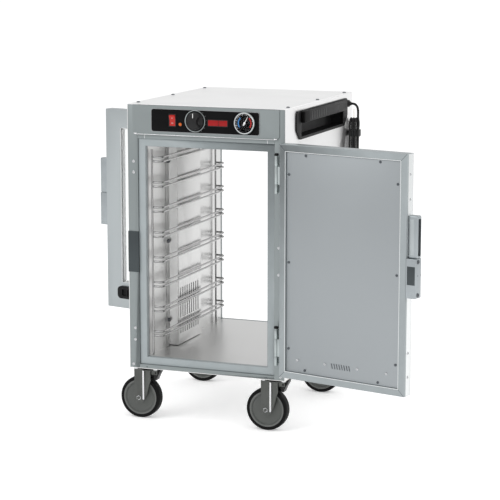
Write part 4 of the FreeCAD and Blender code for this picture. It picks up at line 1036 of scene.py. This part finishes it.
def casters():
    for corner, (across, along) in CORNERS.items():
        x, y = CASTER_X * across, CASTER_Y * along
        axle = at(x - CASTER_TRAIL, y, AXLE_Z, "front")
        fork = f"fork_{corner}"
        wheel = f"wheel_{corner}"
        eased(f"caster_fork_{corner}", 1.0, steps=2)
        tyre = settle(lathe(TYRE, 96, False), axle)
        finished(tyre, f"tyre_{corner}", "wheel_black", wheel, [f"caster_wheel_{corner}"])
        hub = settle(lathe(HUB, 72, False), axle)
        finished(hub, f"hub_{corner}", "hub_grey", wheel)
        rims = []
        for face in (1, -1):
            rim = lathe(HUB_RIM, 72, False)
            rims.append(settle(rim, axle if face > 0 else axle @ FACING["down"]))
        finished(join(rims), f"hub_rims_{corner}", "hub_rim", wheel)
        nuts = []
        for face in (1, -1):
            nut = lathe([(7.2, 22.6), (7.8, 23.2), (7.8, 26), (7, 26.8), (0.4, 26.8)], 6)
            end = lathe([(4.2, 26.5), (4.2, 28), (3.6, 28.6), (0.4, 28.6)], 24)
            turned = axle if face > 0 else axle @ FACING["down"]
            nuts += [settle(nut, turned), settle(end, turned)]
        finished(join(nuts), f"axle_nuts_{corner}", "screw_steel", fork)
        # A black disc between the mounting plate and the fork's crown: partly the swivel race's
        # seal, partly painted shade in that gap.
        disc = lathe([(33, 160.6), (34.5, 161.6), (34.5, 164.4), (33, 165.3), (0.4, 165.3)], 64)
        settle(disc, at(x, y, 0))
        finished(disc, f"race_seal_and_shade_{corner}", "moulded_black", fork)
        bolts = [at(x + i * 33, y + j * 41, BODY_LOW - 4, "down") for i in (-1, 1) for j in (-1, 1)]
        bolt = lathe([(6.4, 0), (6.9, 0.5), (6.9, 3.6), (6.2, 4.4), (0.4, 4.4)], 6)
        finished(scattered(bolt, bolts), f"plate_bolts_{corner}", "screw_steel")
        if along < 0:
            rod = lathe([(1.2, 62), (2.6, 63.4), (3.2, 66), (3.2, 156.5), (2.4, 157.6)], 24)
            settle(rod, at(x - 16, y - 26.4, 0))
            finished(rod, f"brake_rod_{corner}", "bezel_silver", fork)
            eased(f"brake_pedal_{corner}", 1.6, "knob_black", 3)
    eased("caster_plates", 0.7)


# ---------------------------------------------------------------- cord pieces


GLAND = [
    (11.4, 0),
    (11.4, 4.2),
    (10.2, 5.2),
    (8.2, 5.4),
    (7.6, 6.2),
    (7.8, 7.2),
    (6.9, 8),
    (7, 9),
    (5.9, 10),
    (5.3, 11.9),
]


def cord_fittings():
    gland = settle(lathe(GLAND, 40), at(HALF_WIDE, 276, 968, "right"))
    finished(gland, "cord_bush", "cord_black", replaced=["cord_gland"])
    strap = loop_plate(-20.5, 17.5, -21, 21, 9, 1.6, 20, 0.5)
    settle(strap, at(282, 282, 862) @ Matrix.Rotation(HANK_TURN, 4, "Z"))
    finished(strap, "hank_strap", "cord_black")
    tag = block(-8, 8, -0.25, 0.25, -14, 14, 0.2, 2)
    settle(tag, at(281, 271, 938) @ Matrix.Rotation(math.radians(100), 4, "Z"))
    finished(tag, "hank_tag", "tag_card")
    plug = eased("cord_plug", 1.2, "cord_black", 3)
    cord = finished(cord_curve, "supply_cord", "cord_black")
    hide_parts("power_cord", "cord_hank")


# ---------------------------------------------------------------- studio


def studio():
    bpy.ops.object.select_all(action="DESELECT")
    bpy.ops.mesh.primitive_circle_add(vertices=96, radius=60, fill_type="NGON", location=(0, 0, 0))
    floor = bpy.context.object
    floor.name = "studio_floor"
    paper = Finish(
        "studio_paper",
        Roughness=0.9,
        Specular_IOR_Level=0.1,
        Emission_Color=(1, 1, 1, 1),
        Emission_Strength=0.26,
    )
    weave = paper.noise(paper.place(), 3.0, 4.0)
    paper.feed("Base Color", paper.mix(weave, (0.955, 0.955, 0.955, 1), (0.965, 0.965, 0.965, 1)))
    floor.data.materials.append(paper.material)
    world = bpy.data.worlds.new("studio")
    bpy.context.scene.world = world
    world.use_nodes = True
    light = world.node_tree.nodes["Background"]
    light.inputs["Color"].default_value = (1, 1, 1, 1)
    light.inputs["Strength"].default_value = 0.86
    for name, place, size, power in (
        ("key", (-2.2, -3.0, 3.4), 2.4, 52),
        ("fill", (3.4, -1.2, 2.6), 2.6, 40),
        ("through", (1.7, 2.6, 1.9), 1.8, 7),
    ):
        lamp = bpy.data.lights.new(name, "AREA")
        lamp.energy = power
        lamp.size = size
        holder = bpy.data.objects.new(name, lamp)
        bpy.context.scene.collection.objects.link(holder)
        holder.location = place
        aim = Vector((0, 0, 0.5)) - Vector(place)
        holder.rotation_euler = aim.to_track_quat("-Z", "Y").to_euler()
    bpy.context.scene.view_settings.view_transform = "Standard"


add_camera()
cord_curve = supply_cord()
finishes = make_finishes()
dress_cad()
cabinet_skins()
frame_screws()
header_trim()
duct_louvres()
control_panel()
handle_details()
doors()
hinges()
casters()
cord_fittings()
studio()
